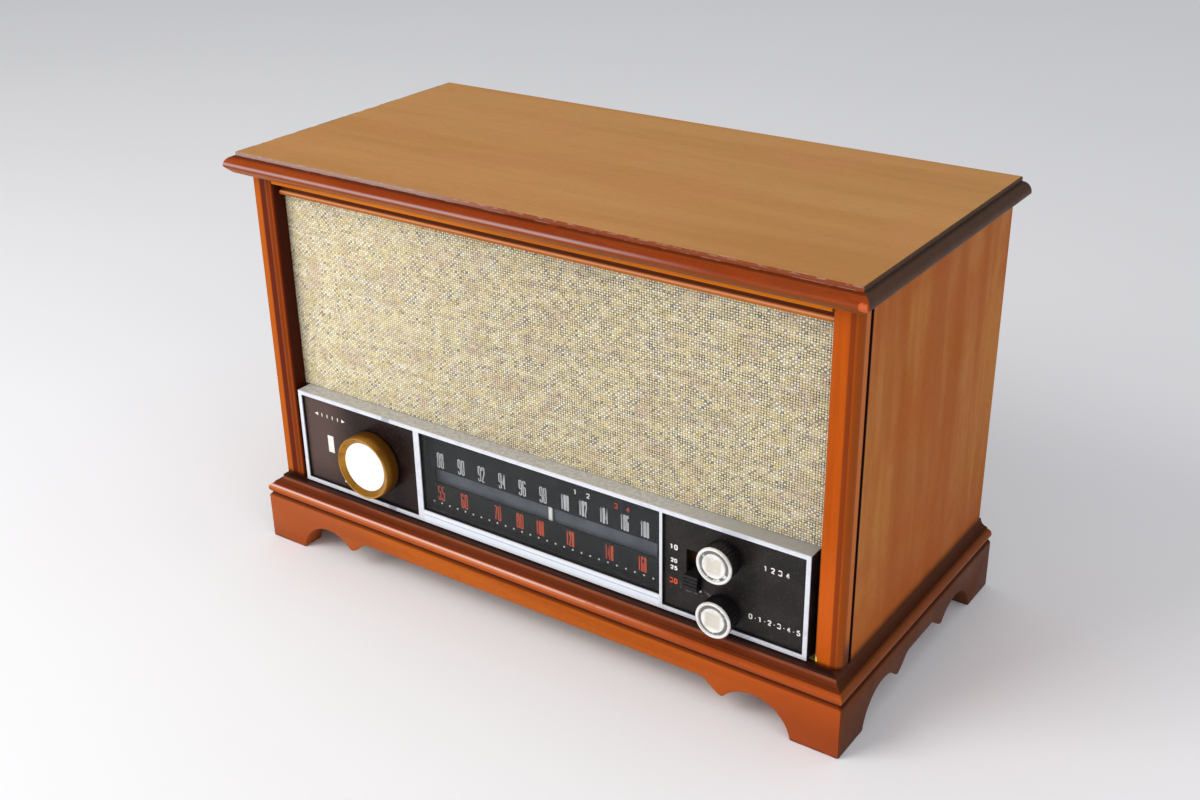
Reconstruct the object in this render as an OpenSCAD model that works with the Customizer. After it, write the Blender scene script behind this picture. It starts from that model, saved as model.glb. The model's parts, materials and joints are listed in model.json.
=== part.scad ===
// Table radio in a wooden cabinet on bracket feet. Millimetres, +Z up, the front looks along -Y.
// The origin is the middle of the footprint, on the floor. "f" is a depth behind the stiles' front face.

/* [Cabinet] */
// Width across the two side panels
cabinet_w = 376.4; // [366:0.1:420]
// Depth from the stiles' front face to the back edge of the side panels
cabinet_d = 175.7; // [172:0.1:220]
// Height of the whole radio
overall_h = 246.2; // [244:0.1:290]
// Thickness of a side panel
side_t = 11; // [9:0.5:12]
// Width of a stile
stile_w = 14.7; // [14:0.1:17]
// Depth of a stile
stile_d = 9.1; // [8.5:0.1:9.2]
// Radius of a stile's outer edge
stile_outer_r = 4.5; // [1:0.5:6]
// Radius of a stile's inner edge
stile_inner_r = 3.5; // [1:0.5:6]
// Width of the dark groove between stile and side panel
groove_w = 2.4; // [1:0.1:4]
// Depth of that groove
groove_d = 2.7; // [1:0.1:4]

/* [Top] */
// Thickness of the top panel
top_t = 14.7; // [13:0.1:18]
// Overhang of the top past a side panel
top_over_side = 8.7; // [7:0.1:14]
// Overhang of the top past the stiles
top_over_front = 12.7; // [12.7:0.1:20]
// Setback of the upper arris from the nosing
arris_in = 5.4; // [3:0.1:6]
// Height of the square fillet under the arris
fillet_h = 2.4; // [0.5:0.1:3]
// Bevel under the tip of the nosing
tip_bevel = 3.6; // [1:0.1:5]
// Rise of the underside from the cabinet to that bevel
under_rise = 3; // [1:0.1:4]

/* [Base] */
// Height of the bracket-foot aprons
apron_h = 30; // [26:0.5:40]
// Height of the moulding above the aprons
moulding_h = 12; // [12:0.1:16]
// Overhang of the base past a side panel
base_over_side = 7.1; // [7.1:0.1:10]
// Overhang of the base past the stiles
base_over_front = 10.9; // [7.1:0.1:12]
// Overhang of the base at the back
base_over_back = 3; // [0:0.1:6]
// Thickness of the base boards
base_t = 14; // [12:0.1:15]
// Radius of the foot's arch
arch_r = 22.2; // [16:0.1:23]
// Width of a foot on the floor
foot_w = 27.1; // [18:0.1:36]
// Depth of the arch's centre below the floor
arch_drop = 3.6; // [2:0.1:5]
// Height of the pointed cusp beside the arch
cusp_z = 10.4; // [8:0.1:13]
// Height of the straight run between the cusps
apron_clear = 18.3; // [16:0.1:20]
// Length of the wave from cusp to straight run
wave_l = 14.5; // [8:0.1:20]
// Bead radius of the base moulding
bead_r = 3; // [2:0.1:3.2]
// Cove radius of the base moulding
cove_r = 4.1; // [3:0.1:4.1]
// Thickness of the cabinet floor
floor_t = 10; // [8:0.5:12]

/* [Grille] */
// Thickness of the cloth
cloth_t = 0.8; // [0.5:0.1:0.9]
// Thickness of the baffle board
baffle_t = 4.5; // [3:0.1:5]
// Drop of the top rail's lower edge below the top panel
rail_drop = 10.9; // [9:0.1:16]
// Drop of the rail's front lip
rail_lip = 3.3; // [2:0.1:5]
// Height of the bead along the rail
strip_h = 3; // [2:0.1:4]

/* [Dial] */
// Gap between dial housing and stile
dial_gap = 3.2; // [1:0.1:6]
// Height of the dial housing
dial_h = 59.8; // [59.5:0.1:64]
// Width of the bright rim
trim_w = 2.4; // [1.5:0.1:3]
// Thickness of the bright rim
trim_t = 0.6; // [0.3:0.1:0.8]
// Distance of the dial window from the housing's left end
window_from_left = 93.8; // [90:0.1:96]
// Distance of the dial window from the housing's right end
window_from_right = 85.8; // [84:0.1:88]
// Height of the bright sill under the window
sill_h = 7.7; // [5:0.1:9]
// Width of the bright bar left of the window
bar_left_w = 4; // [3:0.1:5]
// Width of the bright bar right of the window
bar_right_w = 1.6; // [1.4:0.1:3]
// Thickness of the glossy panels and of the window
panel_t = 1.6; // [1:0.1:1.8]
// Depth of the dial scale behind the stiles' face
scale_f = 6.7; // [5:0.1:6.9]
// Thickness of the dial scale
scale_t = 1; // [0.6:0.1:1.2]
// Middle height of the pointer's band above the housing's foot
band_z = 28.2; // [27:0.1:30]
// Height of the pointer's band
band_h = 9; // [7:0.1:11]

/* [Controls] */
// Distance of the tuning knob's axis from the housing's left end
tuning_from_left = 56.7; // [53:0.1:60]
// Height of the tuning knob above the cabinet floor
tuning_up = 28.5; // [26:0.1:31]
// Distance of the small knobs' axes from the housing's right end
small_from_right = 46.9; // [43:0.1:48]
// Height of the tone knob above the cabinet floor
tone_up = 45; // [43:0.1:45.6]
// Height of the volume knob above the cabinet floor
volume_up = 13.3; // [12.6:0.1:15]
// Radius of the tuning knob
tuning_r = 19.2; // [16:0.1:21]
// Radius of the polished disc in the tuning knob
disc_r = 15.2; // [12:0.1:15.6]
// Radius of a small knob's cap
cap_r = 10.2; // [8.5:0.1:11]
// Radius of a control shaft
shaft_r = 3.175; // [2.5:0.005:3.3]
// Play between a shaft and its bearing
shaft_play = 0.05; // [0.02:0.01:0.09]
// Distance of the band lever's slot from the housing's right end
slot_from_right = 70.7; // [69.5:0.1:72]
// Width of the band lever's slot
slot_w = 8.8; // [7:0.1:9.5]
// Height of the band lever's slot
slot_h = 22.5; // [20:0.1:24]
// Height of the band lever
lever_h = 8.8; // [6:0.1:10]
// Play round the band lever
lever_play = 0.4; // [0.3:0.05:0.6]

/* [Drive] */
// Place of the drum's axis from the middle
drum_x = -40; // [-44:0.5:-36]
// Height of the drum's axis above the chassis deck
drum_up = 25; // [24.5:0.5:30]
// Radius of the drum's cord groove
drum_r = 44; // [40:0.5:46]
// Radius of the idlers' cord groove
idler_r = 4.5; // [3.5:0.1:5]
// Distance of an idler from the chassis end
idler_in = 52; // [49:0.5:54]
// Height of the idlers above the cabinet floor
idler_up = 18; // [16:0.5:20]
// Radius of the dial cord
cord_r = 0.4; // [0.3:0.05:0.5]
// Gap between the cord and what it runs on
cord_gap = 0.3; // [0.25:0.05:0.5]
// Place of the pointer at rest
pointer_x = 8; // [-20:0.5:20]
// Middle of the pointer's travel
travel_mid = 1.4; // [-2:0.1:4]
// Radius of the pointer's rail
rail_r = 1.5; // [1:0.1:2]
// Radius of the capacitor's rotor plates
rotor_r = 20; // [16:0.5:21]
// Thickness of a capacitor plate
plate_t = 0.8; // [0.6:0.1:1]
// Pitch of the rotor plates
plate_pitch = 3.2; // [3:0.1:3.6]

/* [Chassis] */
// Depth of the chassis apron behind the stiles' face
chassis_f = 28; // [27.5:0.5:30]
// Gap between the chassis and the rear cover
chassis_back_gap = 9.7; // [9:0.1:12]
// Gap between the chassis and a side panel
chassis_gap = 27.2; // [22:0.1:30]
// Height of the chassis deck above the cabinet floor
deck_up = 58; // [57.8:0.1:60]
// Thickness of the chassis sheet
sheet_t = 1.2; // [0.8:0.1:1.4]
// Distance of the speaker's middle from the right side panel
speaker_in = 85.2; // [83:0.1:89]
// Gap above and below the speaker
speaker_gap = 13.4; // [12:0.1:20]
// Distance between the centres of the speaker's round ends
speaker_run = 50; // [40:1:52]
// Radius of a tube
tube_r = 9; // [8:0.1:9.5]
// Height of a tube's glass
tube_h = 46; // [40:0.5:54]
// Width of a tuned transformer's can
can_w = 19; // [16:0.1:20]
// Height of that can
can_h = 48; // [40:0.5:54]
// Width of the output transformer's core
core_w = 44; // [40:0.5:46]
// Height of that core
core_h = 38; // [34:0.5:42]
// Thickness of that core
core_t = 16; // [14:0.5:18]
// Depth of the speaker's cone
cone_d = 21; // [18:0.5:24]
// Length of the ferrite rod
ferrite_l = 150; // [120:1:160]
// Radius of the ferrite rod
ferrite_r = 4.5; // [4:0.1:5]
// Distance of the ferrite rod's axis from the rear cover
ferrite_off = 14; // [12:0.5:18]
// Drop of the ferrite rod's axis below the top panel
ferrite_drop = 26; // [22:0.5:30]
// Thickness of the rear cover
cover_t = 3; // [2:0.1:4]
// Setback of the rear cover from the side panels' back edge
cover_in = 3; // [1:0.1:3.5]

/* [Hidden] */
$fn = 48;
eps = 0.01;

// Plan of the cabinet
x_side = cabinet_w / 2;
x_inner = x_side - side_t;
x_open = x_side - stile_w;
x_base = x_side + base_over_side;
total_d = top_over_front + cabinet_d + base_over_back;
face_y = top_over_front - total_d / 2;
base_y0 = face_y - base_over_front;
base_y1 = face_y + cabinet_d + base_over_back;
function fy(f) = face_y + f;
side_f = stile_d + groove_w;

// Heights
floor_z = apron_h + moulding_h;
top_z = overall_h - top_t;
deck_z = floor_z + deck_up;

// Grille
seat_gap = 0.3;
cloth_f = stile_d + 0.2;
baffle_f = cloth_f + cloth_t;
baffle_back = baffle_f + baffle_t;
rail_back = stile_d;
rail_low_f = 6.8;
rail_z = top_z - rail_drop;

// Dial housing
dial_x = x_open - dial_gap;
dial_z = floor_z + 0.8;
dial_top = dial_z + dial_h;
housing_f = -0.2;
panel_f = 1.2;
web_t = 1.6;
panel_z0 = dial_z + trim_w;
panel_z1 = dial_top - trim_w;
window_x0 = window_from_left - dial_x;
window_x1 = dial_x - window_from_right;
left_x0 = -dial_x + trim_w;
left_x1 = window_x0 - bar_left_w;
right_x0 = window_x1 + bar_right_w;
right_x1 = dial_x - trim_w;
window_z0 = dial_z + sill_h;
window_lip = 0.8;
fit_gap = 0.15;
scale_x0 = window_x0 - 2;
scale_x1 = window_x1 + 0.8;
scale_z0 = dial_z + 3.2;
scale_z1 = dial_top - 1.4;
divider_x0 = scale_x0 - 4;
divider_x1 = scale_x1 + 2.7;
band_mid = dial_z + band_z;

// Controls
tuning_x = tuning_from_left - dial_x;
small_x = dial_x - small_from_right;
slot_x0 = dial_x - slot_from_right;
tuning_z = floor_z + tuning_up;
tone_z = floor_z + tone_up;
volume_z = floor_z + volume_up;
slot_z0 = floor_z + 18;
hole_r = shaft_r + 0.9;
tuning_front = -10.3;
disc_front = -8.2;
disc_t = 1.2;
small_front = -11.3;
small_back = -1.3;
knob_bore = shaft_r + shaft_play / 2;
lever_w = slot_w - 2 * lever_play;
lever_x0 = slot_x0 + lever_play;
lever_z0 = slot_z0 + lever_play;
lever_front = -2;
lever_travel = slot_h - 2 * lever_play - lever_h;
switch_f = 10.8;
switch_d = 5.6;
pot_r = 10.6;

// Cord drive
cord_f = 20.5;
chassis_x = x_inner - chassis_gap;
idler_x = chassis_x - idler_in;
drum_z = deck_z + drum_up;
idler_z = floor_z + idler_up;
lift = cord_gap + cord_r;
run_z = idler_z - idler_r - lift;
neck_r = shaft_r - 0.175;
turn0 = (pointer_x - travel_mid) / (drum_r + lift) * 180 / PI;
carriage_z = floor_z + 20;
rail_f = 16;
rail_reach = idler_x - 12;
pointer_f = 8.5;
pointer_t = 0.8;
pointer_w = 2.4;
arm_z = carriage_z - 1;
arm_h = 2.4;

// Tuning capacitor
cap_half_w = 26;
cap_f = chassis_f + 4;
cap_l = 50;
cap_h = drum_up + 24;
cap_wall = 1.5;
gang_n = 5;
gang_f = [cap_f + 5.5, cap_f + 28.5];

// Chassis and cover
speaker_x = x_inner - speaker_in;
cover_f = cabinet_d - cover_in - cover_t;
chassis_back = cover_f - chassis_back_gap;
speaker_z = (dial_top + top_z) / 2;
speaker_r = (top_z - dial_top) / 2 - speaker_gap;
cleat_w = 10;
screw_x = x_inner - cleat_w / 2;
screw_zs = [floor_z + 18, (floor_z + top_z) / 2, top_z - 16];
inlet_x = -chassis_x + 30;
inlet_z = floor_z + 24;

// Helpers
function arc(c, r, a0, a1, n) = [for (i = [0:n]) c + r * [cos(a0 + (a1 - a0) * i / n), sin(a0 + (a1 - a0) * i / n)]];
function flip(points) = [for (i = [len(points) - 1:-1:0]) [-points[i][0], points[i][1]]];
module box(x0, x1, f0, f1, z0, z1) translate([x0, fy(f0), z0]) cube([x1 - x0, f1 - f0, z1 - z0]);
module rod(x, z, f0, f1, r) translate([x, fy(f0), z]) rotate([-90, 0, 0]) cylinder(r = r, h = f1 - f0);
module upright(x, f, z0, z1, r) translate([x, fy(f), z0]) cylinder(r = r, h = z1 - z0);
// A flat outline in X and Z, from depth f0 to f1
module slab(f0, f1) translate([0, fy(f1), 0]) rotate([90, 0, 0]) linear_extrude(f1 - f0) children();
// An outline in Y and Z, run along X
module length_x(x0, x1) translate([x0, 0, 0]) rotate([90, 0, 90]) linear_extrude(x1 - x0) children();
// An outline in X and Z, run along Y
module length_y(y0, y1) translate([0, y1, 0]) rotate([90, 0, 0]) linear_extrude(y1 - y0) children();
// A turned form about an axis along Y: its outline is radius and depth
module turned(x, z) translate([x, fy(0), z]) rotate([-90, 0, 0]) rotate_extrude() children();
module square_between(x0, x1, z0, z1) translate([x0, z0]) square([x1 - x0, z1 - z0]);
module obround(run, r) {
    translate([-run / 2, 0]) circle(r);
    translate([run / 2, 0]) circle(r);
    translate([-run / 2, -r]) square([run, 2 * r]);
}

// Top panel: the moulded edge as offsets from the nosing and heights above the underside
ledge = 0.4;
ovolo_w = arris_in - ledge;
ovolo_z = under_rise + tip_bevel + 0.5;
ovolo_h = top_t - fillet_h - ovolo_z;
function nosing_edge(under_w) = concat(
    [[-under_w, 0], [-tip_bevel, under_rise], [-0.2, ovolo_z - 0.6]],
    [for (i = [0:10]) [ovolo_w * (cos(9 * i) - 1), ovolo_z + ovolo_h * sin(9 * i)]],
    [[-arris_in, top_t - fillet_h], [-arris_in, top_t]]
);
x_nosing = x_side + top_over_side;
nosing_y = face_y - top_over_front;
top_back = fy(cabinet_d + 0.7);
module top_panel() {
    across = [for (p = nosing_edge(top_over_side)) [x_nosing + p[0], top_z + p[1]]];
    along = [for (p = nosing_edge(top_over_front - 2.7)) [nosing_y - p[0], top_z + p[1]]];
    color("#a4682f") intersection() {
        length_y(nosing_y - 1, top_back) polygon(concat(across, flip(across)));
        length_x(-x_nosing - 1, x_nosing + 1) polygon(concat(along, [[top_back, overall_h], [top_back, top_z]]));
    }
}

module side_panel() {
    color("#a8521e") box(x_inner, x_side, side_f, cabinet_d, floor_z, top_z);
}
module left_side() mirror([1, 0, 0]) side_panel();
module right_side() side_panel();

module stile() {
    edge = concat(
        [[x_open, fy(stile_d)]],
        arc([x_open + stile_inner_r, fy(stile_inner_r)], stile_inner_r, 180, 270, 8),
        arc([x_side - stile_outer_r, fy(stile_outer_r)], stile_outer_r, 270, 360, 10),
        [[x_side, fy(stile_d)], [x_side - groove_d, fy(stile_d)], [x_side - groove_d, fy(side_f)],
         [x_inner, fy(side_f)], [x_inner, fy(stile_d)]]
    );
    color("#b4561c") translate([0, 0, floor_z]) linear_extrude(top_z - floor_z) polygon(edge);
}
module left_stile() mirror([1, 0, 0]) stile();
module right_stile() stile();

module top_rail() {
    lip_r = 1.2;
    section = concat(
        [[fy(rail_back), top_z], [fy(0), top_z]],
        arc([fy(lip_r), top_z - rail_lip + lip_r], lip_r, 180, 270, 4),
        [[fy(rail_low_f - 2), top_z - rail_lip], [fy(rail_low_f), top_z - rail_lip - 1.4],
         [fy(rail_low_f), rail_z], [fy(rail_back), rail_z]]
    );
    color("#a64d18") length_x(-x_open, x_open) polygon(section);
}
module grille_bead() {
    mid = rail_z + strip_h / 2 + 0.2;
    section = [for (i = [0:12]) [fy(rail_low_f) - 1.7 * sin(15 * i), mid + strip_h / 2 * cos(15 * i)]];
    color("#cf7a48") length_x(-x_open, x_open) polygon(section);
}

// Base moulding: groove, bead, fillet and cove, as offsets from the outer face
bead_z = bead_r + 0.7;
quirk_in = 1.6;
bead_a0 = -acos((bead_r - quirk_in) / bead_r);
cove_z = moulding_h - 0.2;
moulding_edge = concat(
    [[-base_t, 0], [-quirk_in, 0]],
    arc([-bead_r, bead_z], bead_r, bead_a0, 90, 12),
    arc([-bead_r, cove_z], cove_r, 270, 180, 8),
    [[-bead_r - cove_r, moulding_h], [-base_t, moulding_h]]
);
module mitred_front() {
    linear_extrude(overall_h) polygon([
        [-x_base, base_y0], [x_base, base_y0], [x_base - base_t, base_y0 + base_t], [base_t - x_base, base_y0 + base_t]
    ]);
}
module mitred_side() {
    linear_extrude(overall_h) polygon([
        [x_base, base_y0], [x_base, base_y1], [x_base - base_t, base_y1], [x_base - base_t, base_y0 + base_t]
    ]);
}
module base_moulding_front() {
    section = [for (p = moulding_edge) [base_y0 - p[0], apron_h + p[1]]];
    color("#8d3f18") intersection() {
        length_x(-x_base, x_base) polygon(section);
        mitred_front();
    }
}
module side_moulding() {
    section = [for (p = moulding_edge) [x_base + p[0], apron_h + p[1]]];
    color("#7d3a1a") intersection() {
        length_y(base_y0, base_y1) polygon(section);
        mitred_side();
    }
}
module base_moulding_left() mirror([1, 0, 0]) side_moulding();
module base_moulding_right() side_moulding();

// Bracket foot: floor, arch, cusp and wave, as distances from the corner and heights
arch_x = foot_w + sqrt(arch_r * arch_r - arch_drop * arch_drop);
arch_a0 = 180 - asin(arch_drop / arch_r);
arch_a1 = asin((cusp_z + arch_drop) / arch_r);
cusp_x = arch_x + arch_r * cos(arch_a1);
foot_edge = concat(
    [[0, 0]],
    arc([arch_x, -arch_drop], arch_r, arch_a0, arch_a1, 16),
    [for (i = [1:10]) [cusp_x + wave_l * i / 10, cusp_z + (apron_clear - cusp_z) * (1 - cos(18 * i)) / 2]]
);
chamfer = 1.2;
module apron_outline(a, b) {
    near = [for (p = foot_edge) [a + p[0], p[1]]];
    far = [for (i = [len(foot_edge) - 1:-1:0]) [b - foot_edge[i][0], foot_edge[i][1]]];
    polygon(concat(near, far, [[b, apron_h], [a, apron_h]]));
}
apron_edge = [[-base_t, 0], [0, 0], [0, apron_h - chamfer], [-chamfer, apron_h], [-base_t, apron_h]];
module front_apron() {
    color("#b4581d") intersection() {
        length_y(base_y0, base_y0 + base_t) apron_outline(-x_base, x_base);
        length_x(-x_base, x_base) polygon([for (p = apron_edge) [base_y0 - p[0], p[1]]]);
        mitred_front();
    }
}
module side_apron() {
    color("#93481f") intersection() {
        length_x(x_base - base_t, x_base) apron_outline(base_y0, base_y1);
        length_y(base_y0, base_y1) polygon([for (p = apron_edge) [x_base + p[0], p[1]]]);
        mitred_side();
    }
}
module left_apron() mirror([1, 0, 0]) side_apron();
module right_apron() side_apron();

rear_apron_t = 12;
board_z = floor_z - floor_t;
module rear_apron() {
    reach = x_base - base_t;
    color("#8a4a22") translate([-reach, base_y1 - rear_apron_t, cusp_z])
        cube([2 * reach, rear_apron_t, board_z - cusp_z]);
}

block_leg = 12.5;
module foot_block(x, y, z_turn) {
    translate([x, y, 1.5]) rotate([0, 0, z_turn]) linear_extrude(board_z - 1.5)
        polygon([[0, 0], [block_leg, 0], [0, block_leg]]);
}
module glue_blocks() {
    reach = x_base - base_t;
    back = base_y1 - rear_apron_t;
    color("#c9a06a") {
        foot_block(-reach, base_y0 + base_t, 0);
        foot_block(reach, base_y0 + base_t, 90);
        foot_block(-reach, back, 270);
        foot_block(reach, back, 180);
        difference() {
            for (s = [-1, 1]) translate([s * screw_x - cleat_w / 2, fy(cover_f - cleat_w), floor_z])
                cube([cleat_w, cleat_w, top_z - floor_z]);
            for (s = [-1, 1], z = screw_zs) rod(s * screw_x, z, cover_f - screw_l, cover_f + 1, screw_r + 0.1);
        }
    }
}

module cabinet_floor() {
    reach = x_base - base_t;
    color("#b98a55") translate([-reach, base_y0 + base_t, board_z])
        cube([2 * reach, fy(cabinet_d) - base_y0 - base_t, floor_t]);
}

dial_hole_x = dial_x - 6;
module grille_baffle() {
    reach = x_inner - seat_gap;
    color("#3a2c22") slab(baffle_f, baffle_back) difference() {
        square_between(-reach, reach, floor_z, top_z);
        square_between(-dial_hole_x, dial_hole_x, dial_z + 4, dial_top - 4);
        translate([speaker_x, speaker_z]) obround(speaker_run, speaker_r - 9);
        for (sx = [-1, 1], sz = [-1, 1]) translate([speaker_x + sx * ear_x, speaker_z + sz * ear_z]) circle(2);
    }
}
module grille_cloth() {
    reach = x_inner - 2 * seat_gap;
    color("#cbb98c") box(-reach, reach, cloth_f, baffle_f, dial_top + seat_gap, top_z - 2);
}

// Dial housing
module panel_openings(grow) {
    square_between(left_x0 - grow, left_x1 + grow, panel_z0 - grow, panel_z1 + grow);
    square_between(right_x0 - grow, right_x1 + grow, panel_z0 - grow, panel_z1 + grow);
}
module window_opening(grow) {
    square_between(window_x0 - grow, window_x1 + grow, window_z0 - grow, panel_z1 + grow);
}
module control_holes(r) {
    translate([small_x, tone_z]) circle(r);
    translate([small_x, volume_z]) circle(r);
}
module lever_slot() {
    square_between(slot_x0, slot_x0 + slot_w, slot_z0, slot_z0 + slot_h);
}
module dial_escutcheon() {
    web_f = panel_f + panel_t;
    wall = 1.8;
    color("#1d1a19") difference() {
        box(-dial_x, dial_x, housing_f, baffle_f, dial_z, dial_top);
        slab(housing_f - 1, web_f) panel_openings(0);
        slab(housing_f - 1, web_f) window_opening(0);
        slab(web_f - eps, scale_f) window_opening(-window_lip);
        box(scale_x0, scale_x1, scale_f - eps, baffle_f + 1, scale_z0, scale_z1);
        box(wall - dial_x, divider_x0, web_f + web_t, baffle_f + 1, dial_z + wall, dial_top - wall);
        box(divider_x1, dial_x - wall, web_f + web_t, baffle_f + 1, dial_z + wall, dial_top - wall);
        rod(tuning_x, tuning_z, web_f - 1, baffle_f, hole_r);
        slab(web_f - 1, baffle_f) control_holes(hole_r);
        slab(web_f - 1, baffle_f) lever_slot();
    }
}
module silver_trim() {
    color("#d9dadc") slab(housing_f - trim_t, housing_f) difference() {
        square_between(-dial_x, dial_x, dial_z, dial_top);
        panel_openings(0);
        window_opening(0);
    }
}
module tuning_panel() {
    color("#35211f") slab(panel_f, panel_f + panel_t) difference() {
        square_between(left_x0 + fit_gap, left_x1 - fit_gap, panel_z0 + fit_gap, panel_z1 - fit_gap);
        translate([tuning_x, tuning_z]) circle(hole_r);
    }
}
module control_panel() {
    color("#171516") slab(panel_f, panel_f + panel_t) difference() {
        square_between(right_x0 + fit_gap, right_x1 - fit_gap, panel_z0 + fit_gap, panel_z1 - fit_gap);
        control_holes(hole_r);
        lever_slot();
    }
}
module dial_window() {
    color("#c8d4d8", 0.3) slab(panel_f, panel_f + panel_t) window_opening(-fit_gap);
}
band_x0 = window_x0 + 4;
band_x1 = window_x1 - 6;
module dial_scale() {
    color("#111113") slab(scale_f, scale_f + scale_t) difference() {
        square_between(scale_x0 + fit_gap, scale_x1 - fit_gap, scale_z0 + fit_gap, scale_z1 - fit_gap);
        square_between(band_x0, band_x1, band_mid - band_h / 2, band_mid + band_h / 2);
    }
}
reflector_t = 0.8;
lamp_x = window_x1 - 44.5;
lamp_z = floor_z + 50;
lamp_r = 4.4;
module dial_reflector() {
    color("#aeb0ae") {
        slab(baffle_f, baffle_f + reflector_t) difference() {
            square_between(divider_x0 + 0.5, divider_x1 - 0.5, dial_z + 4.4, dial_top - 4.4);
            square_between(band_x0, band_x1, arm_z - 1.4, arm_z + arm_h + 1.4);
            translate([lamp_x, lamp_z]) circle(lamp_r + 0.6);
        }
        for (x = [scale_x0 + 1, scale_x1 - 3], z = [dial_z + 5, dial_top - 7])
            box(x, x + 2, scale_f + scale_t, baffle_f, z, z + 2);
    }
}

// Pointer: a white blade behind the scale's band, on a carriage that slides on the rail
module pointer() {
    clip_f = cord_f - 0.8;
    color("#f1efe9") translate([pointer_x, 0, 0]) difference() {
        union() {
            box(-pointer_w / 2, pointer_w / 2, pointer_f, pointer_f + pointer_t, arm_z, band_mid + 3.6);
            box(-pointer_w / 2, pointer_w / 2, pointer_f, rail_f - 2, arm_z, arm_z + arm_h);
            box(-7, 7, rail_f - 2.8, rail_f + 2.8, carriage_z - 2.8, carriage_z + 2.8);
            box(-2.5, 2.5, rail_f + 1, cord_f + 1.6, run_z - 1.6, carriage_z - 2.8);
        }
        translate([-8, fy(rail_f), carriage_z]) rotate([0, 90, 0]) cylinder(r = rail_r + 0.3, h = 16);
        box(-3, 3, clip_f, cord_f + 2, run_z - cord_r - 0.4, run_z + cord_r + 0.4);
    }
}
module pointer_rail() {
    color("#b9bcc0") {
        translate([-rail_reach, fy(rail_f), carriage_z]) rotate([0, 90, 0]) cylinder(r = rail_r, h = 2 * rail_reach);
        for (s = [-1, 1]) {
            rod(s * rail_reach, carriage_z, rail_f, chassis_f, rail_r);
            translate([s * rail_reach, fy(rail_f), carriage_z]) sphere(rail_r);
        }
    }
}
module lamp_holder() {
    color("#b9bcc0") {
        difference() {
            rod(lamp_x, lamp_z, 21, 26, lamp_r + 1);
            rod(lamp_x, lamp_z, 20, 24, lamp_r - 0.4);
        }
        box(lamp_x - 3, lamp_x + 3, 26 - eps, chassis_f, lamp_z - 3, lamp_z + 3);
    }
}
module dial_lamp() {
    color("#f3efe0") turned(lamp_x, lamp_z)
        polygon(concat([[0, 24], [0, 12]], arc([0, 12 + lamp_r], lamp_r, -80, 0, 8), [[lamp_r, 21], [lamp_r - 0.6, 21], [lamp_r - 0.6, 24]]));
}

// Knobs
module tuning_knob() {
    back = 0.2;
    hub_r = 8;
    seat = disc_front + disc_t;
    color("#b98a3a") turned(tuning_x, tuning_z) polygon(concat(
        [[0, seat], [disc_r + 0.15, seat], [disc_r + 0.15, seat - 0.6], [tuning_r - 1.6, tuning_front + 0.5]],
        arc([tuning_r - 0.8, tuning_front + 0.8], 0.8, 230, 360, 6),
        [[tuning_r + 0.2, back - 0.6], [tuning_r - 0.4, back], [tuning_r - 2, back], [tuning_r - 2.4, seat + 2.2],
         [hub_r, seat + 2.2], [hub_r, back], [knob_bore, back], [knob_bore, seat + 1.2], [0, seat + 1.2]]
    ));
}
module tuning_knob_disc() {
    color("#f4f3ef") turned(tuning_x, tuning_z) polygon([
        [0, disc_front - 0.5], [disc_r * 0.5, disc_front - 0.38], [disc_r - 0.5, disc_front], [disc_r, disc_front + 0.3],
        [disc_r, disc_front + disc_t], [0, disc_front + disc_t]
    ]);
}
shaft_end = chassis_f + 8;
clip_r = shaft_r + 2;
module tuning_shaft() {
    seat = disc_front + disc_t + 1.2;
    neck0 = cord_f - 3.5;
    neck1 = cord_f + 3.5;
    color("#c4c6c8") turned(tuning_x, tuning_z) polygon([
        [0, seat], [shaft_r, seat], [shaft_r, neck0], [neck_r, neck0], [neck_r, neck1], [clip_r, neck1],
        [clip_r, neck1 + 0.8], [shaft_r, neck1 + 0.8], [shaft_r, bush_end + 0.4], [clip_r, bush_end + 0.4],
        [clip_r, bush_end + 1.2], [shaft_r, bush_end + 1.2], [shaft_r, shaft_end], [0, shaft_end]
    ]);
}
module fluted_knob(z) {
    body_r = cap_r - 0.4;
    flutes = 30;
    color("#242021") difference() {
        slab(small_front, small_back) translate([small_x, z]) difference() {
            circle(body_r);
            for (i = [0:flutes - 1]) rotate(360 / flutes * i) translate([body_r + 0.15, 0]) circle(0.5, $fn = 16);
        }
        rod(small_x, z, small_front + 2, small_back + 1, knob_bore);
    }
}
module knob_cap(z) {
    back = small_front;
    ring_r = cap_r - 1.9;
    hub_r = cap_r - 3.5;
    color("#dcdde0") turned(small_x, z) polygon([
        [0, back], [cap_r, back], [cap_r, back - 0.7], [cap_r - 0.3, back - 1.1], [cap_r - 0.9, back - 1.3],
        [ring_r + 0.3, back - 0.9], [ring_r, back - 0.4], [hub_r + 0.2, back - 0.4], [hub_r, back - 1],
        [hub_r - 0.8, back - 1.15], [0, back - 0.95]
    ]);
}
shaft_back = chassis_f + 5;
module control_shaft(z) {
    color("#c4c6c8") rod(small_x, z, small_front + 2, shaft_back, shaft_r);
}
module tone_knob() fluted_knob(tone_z);
module tone_knob_cap() knob_cap(tone_z);
module tone_shaft() control_shaft(tone_z);
module volume_knob() fluted_knob(volume_z);
module volume_knob_cap() knob_cap(volume_z);
module volume_shaft() control_shaft(volume_z);

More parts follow.
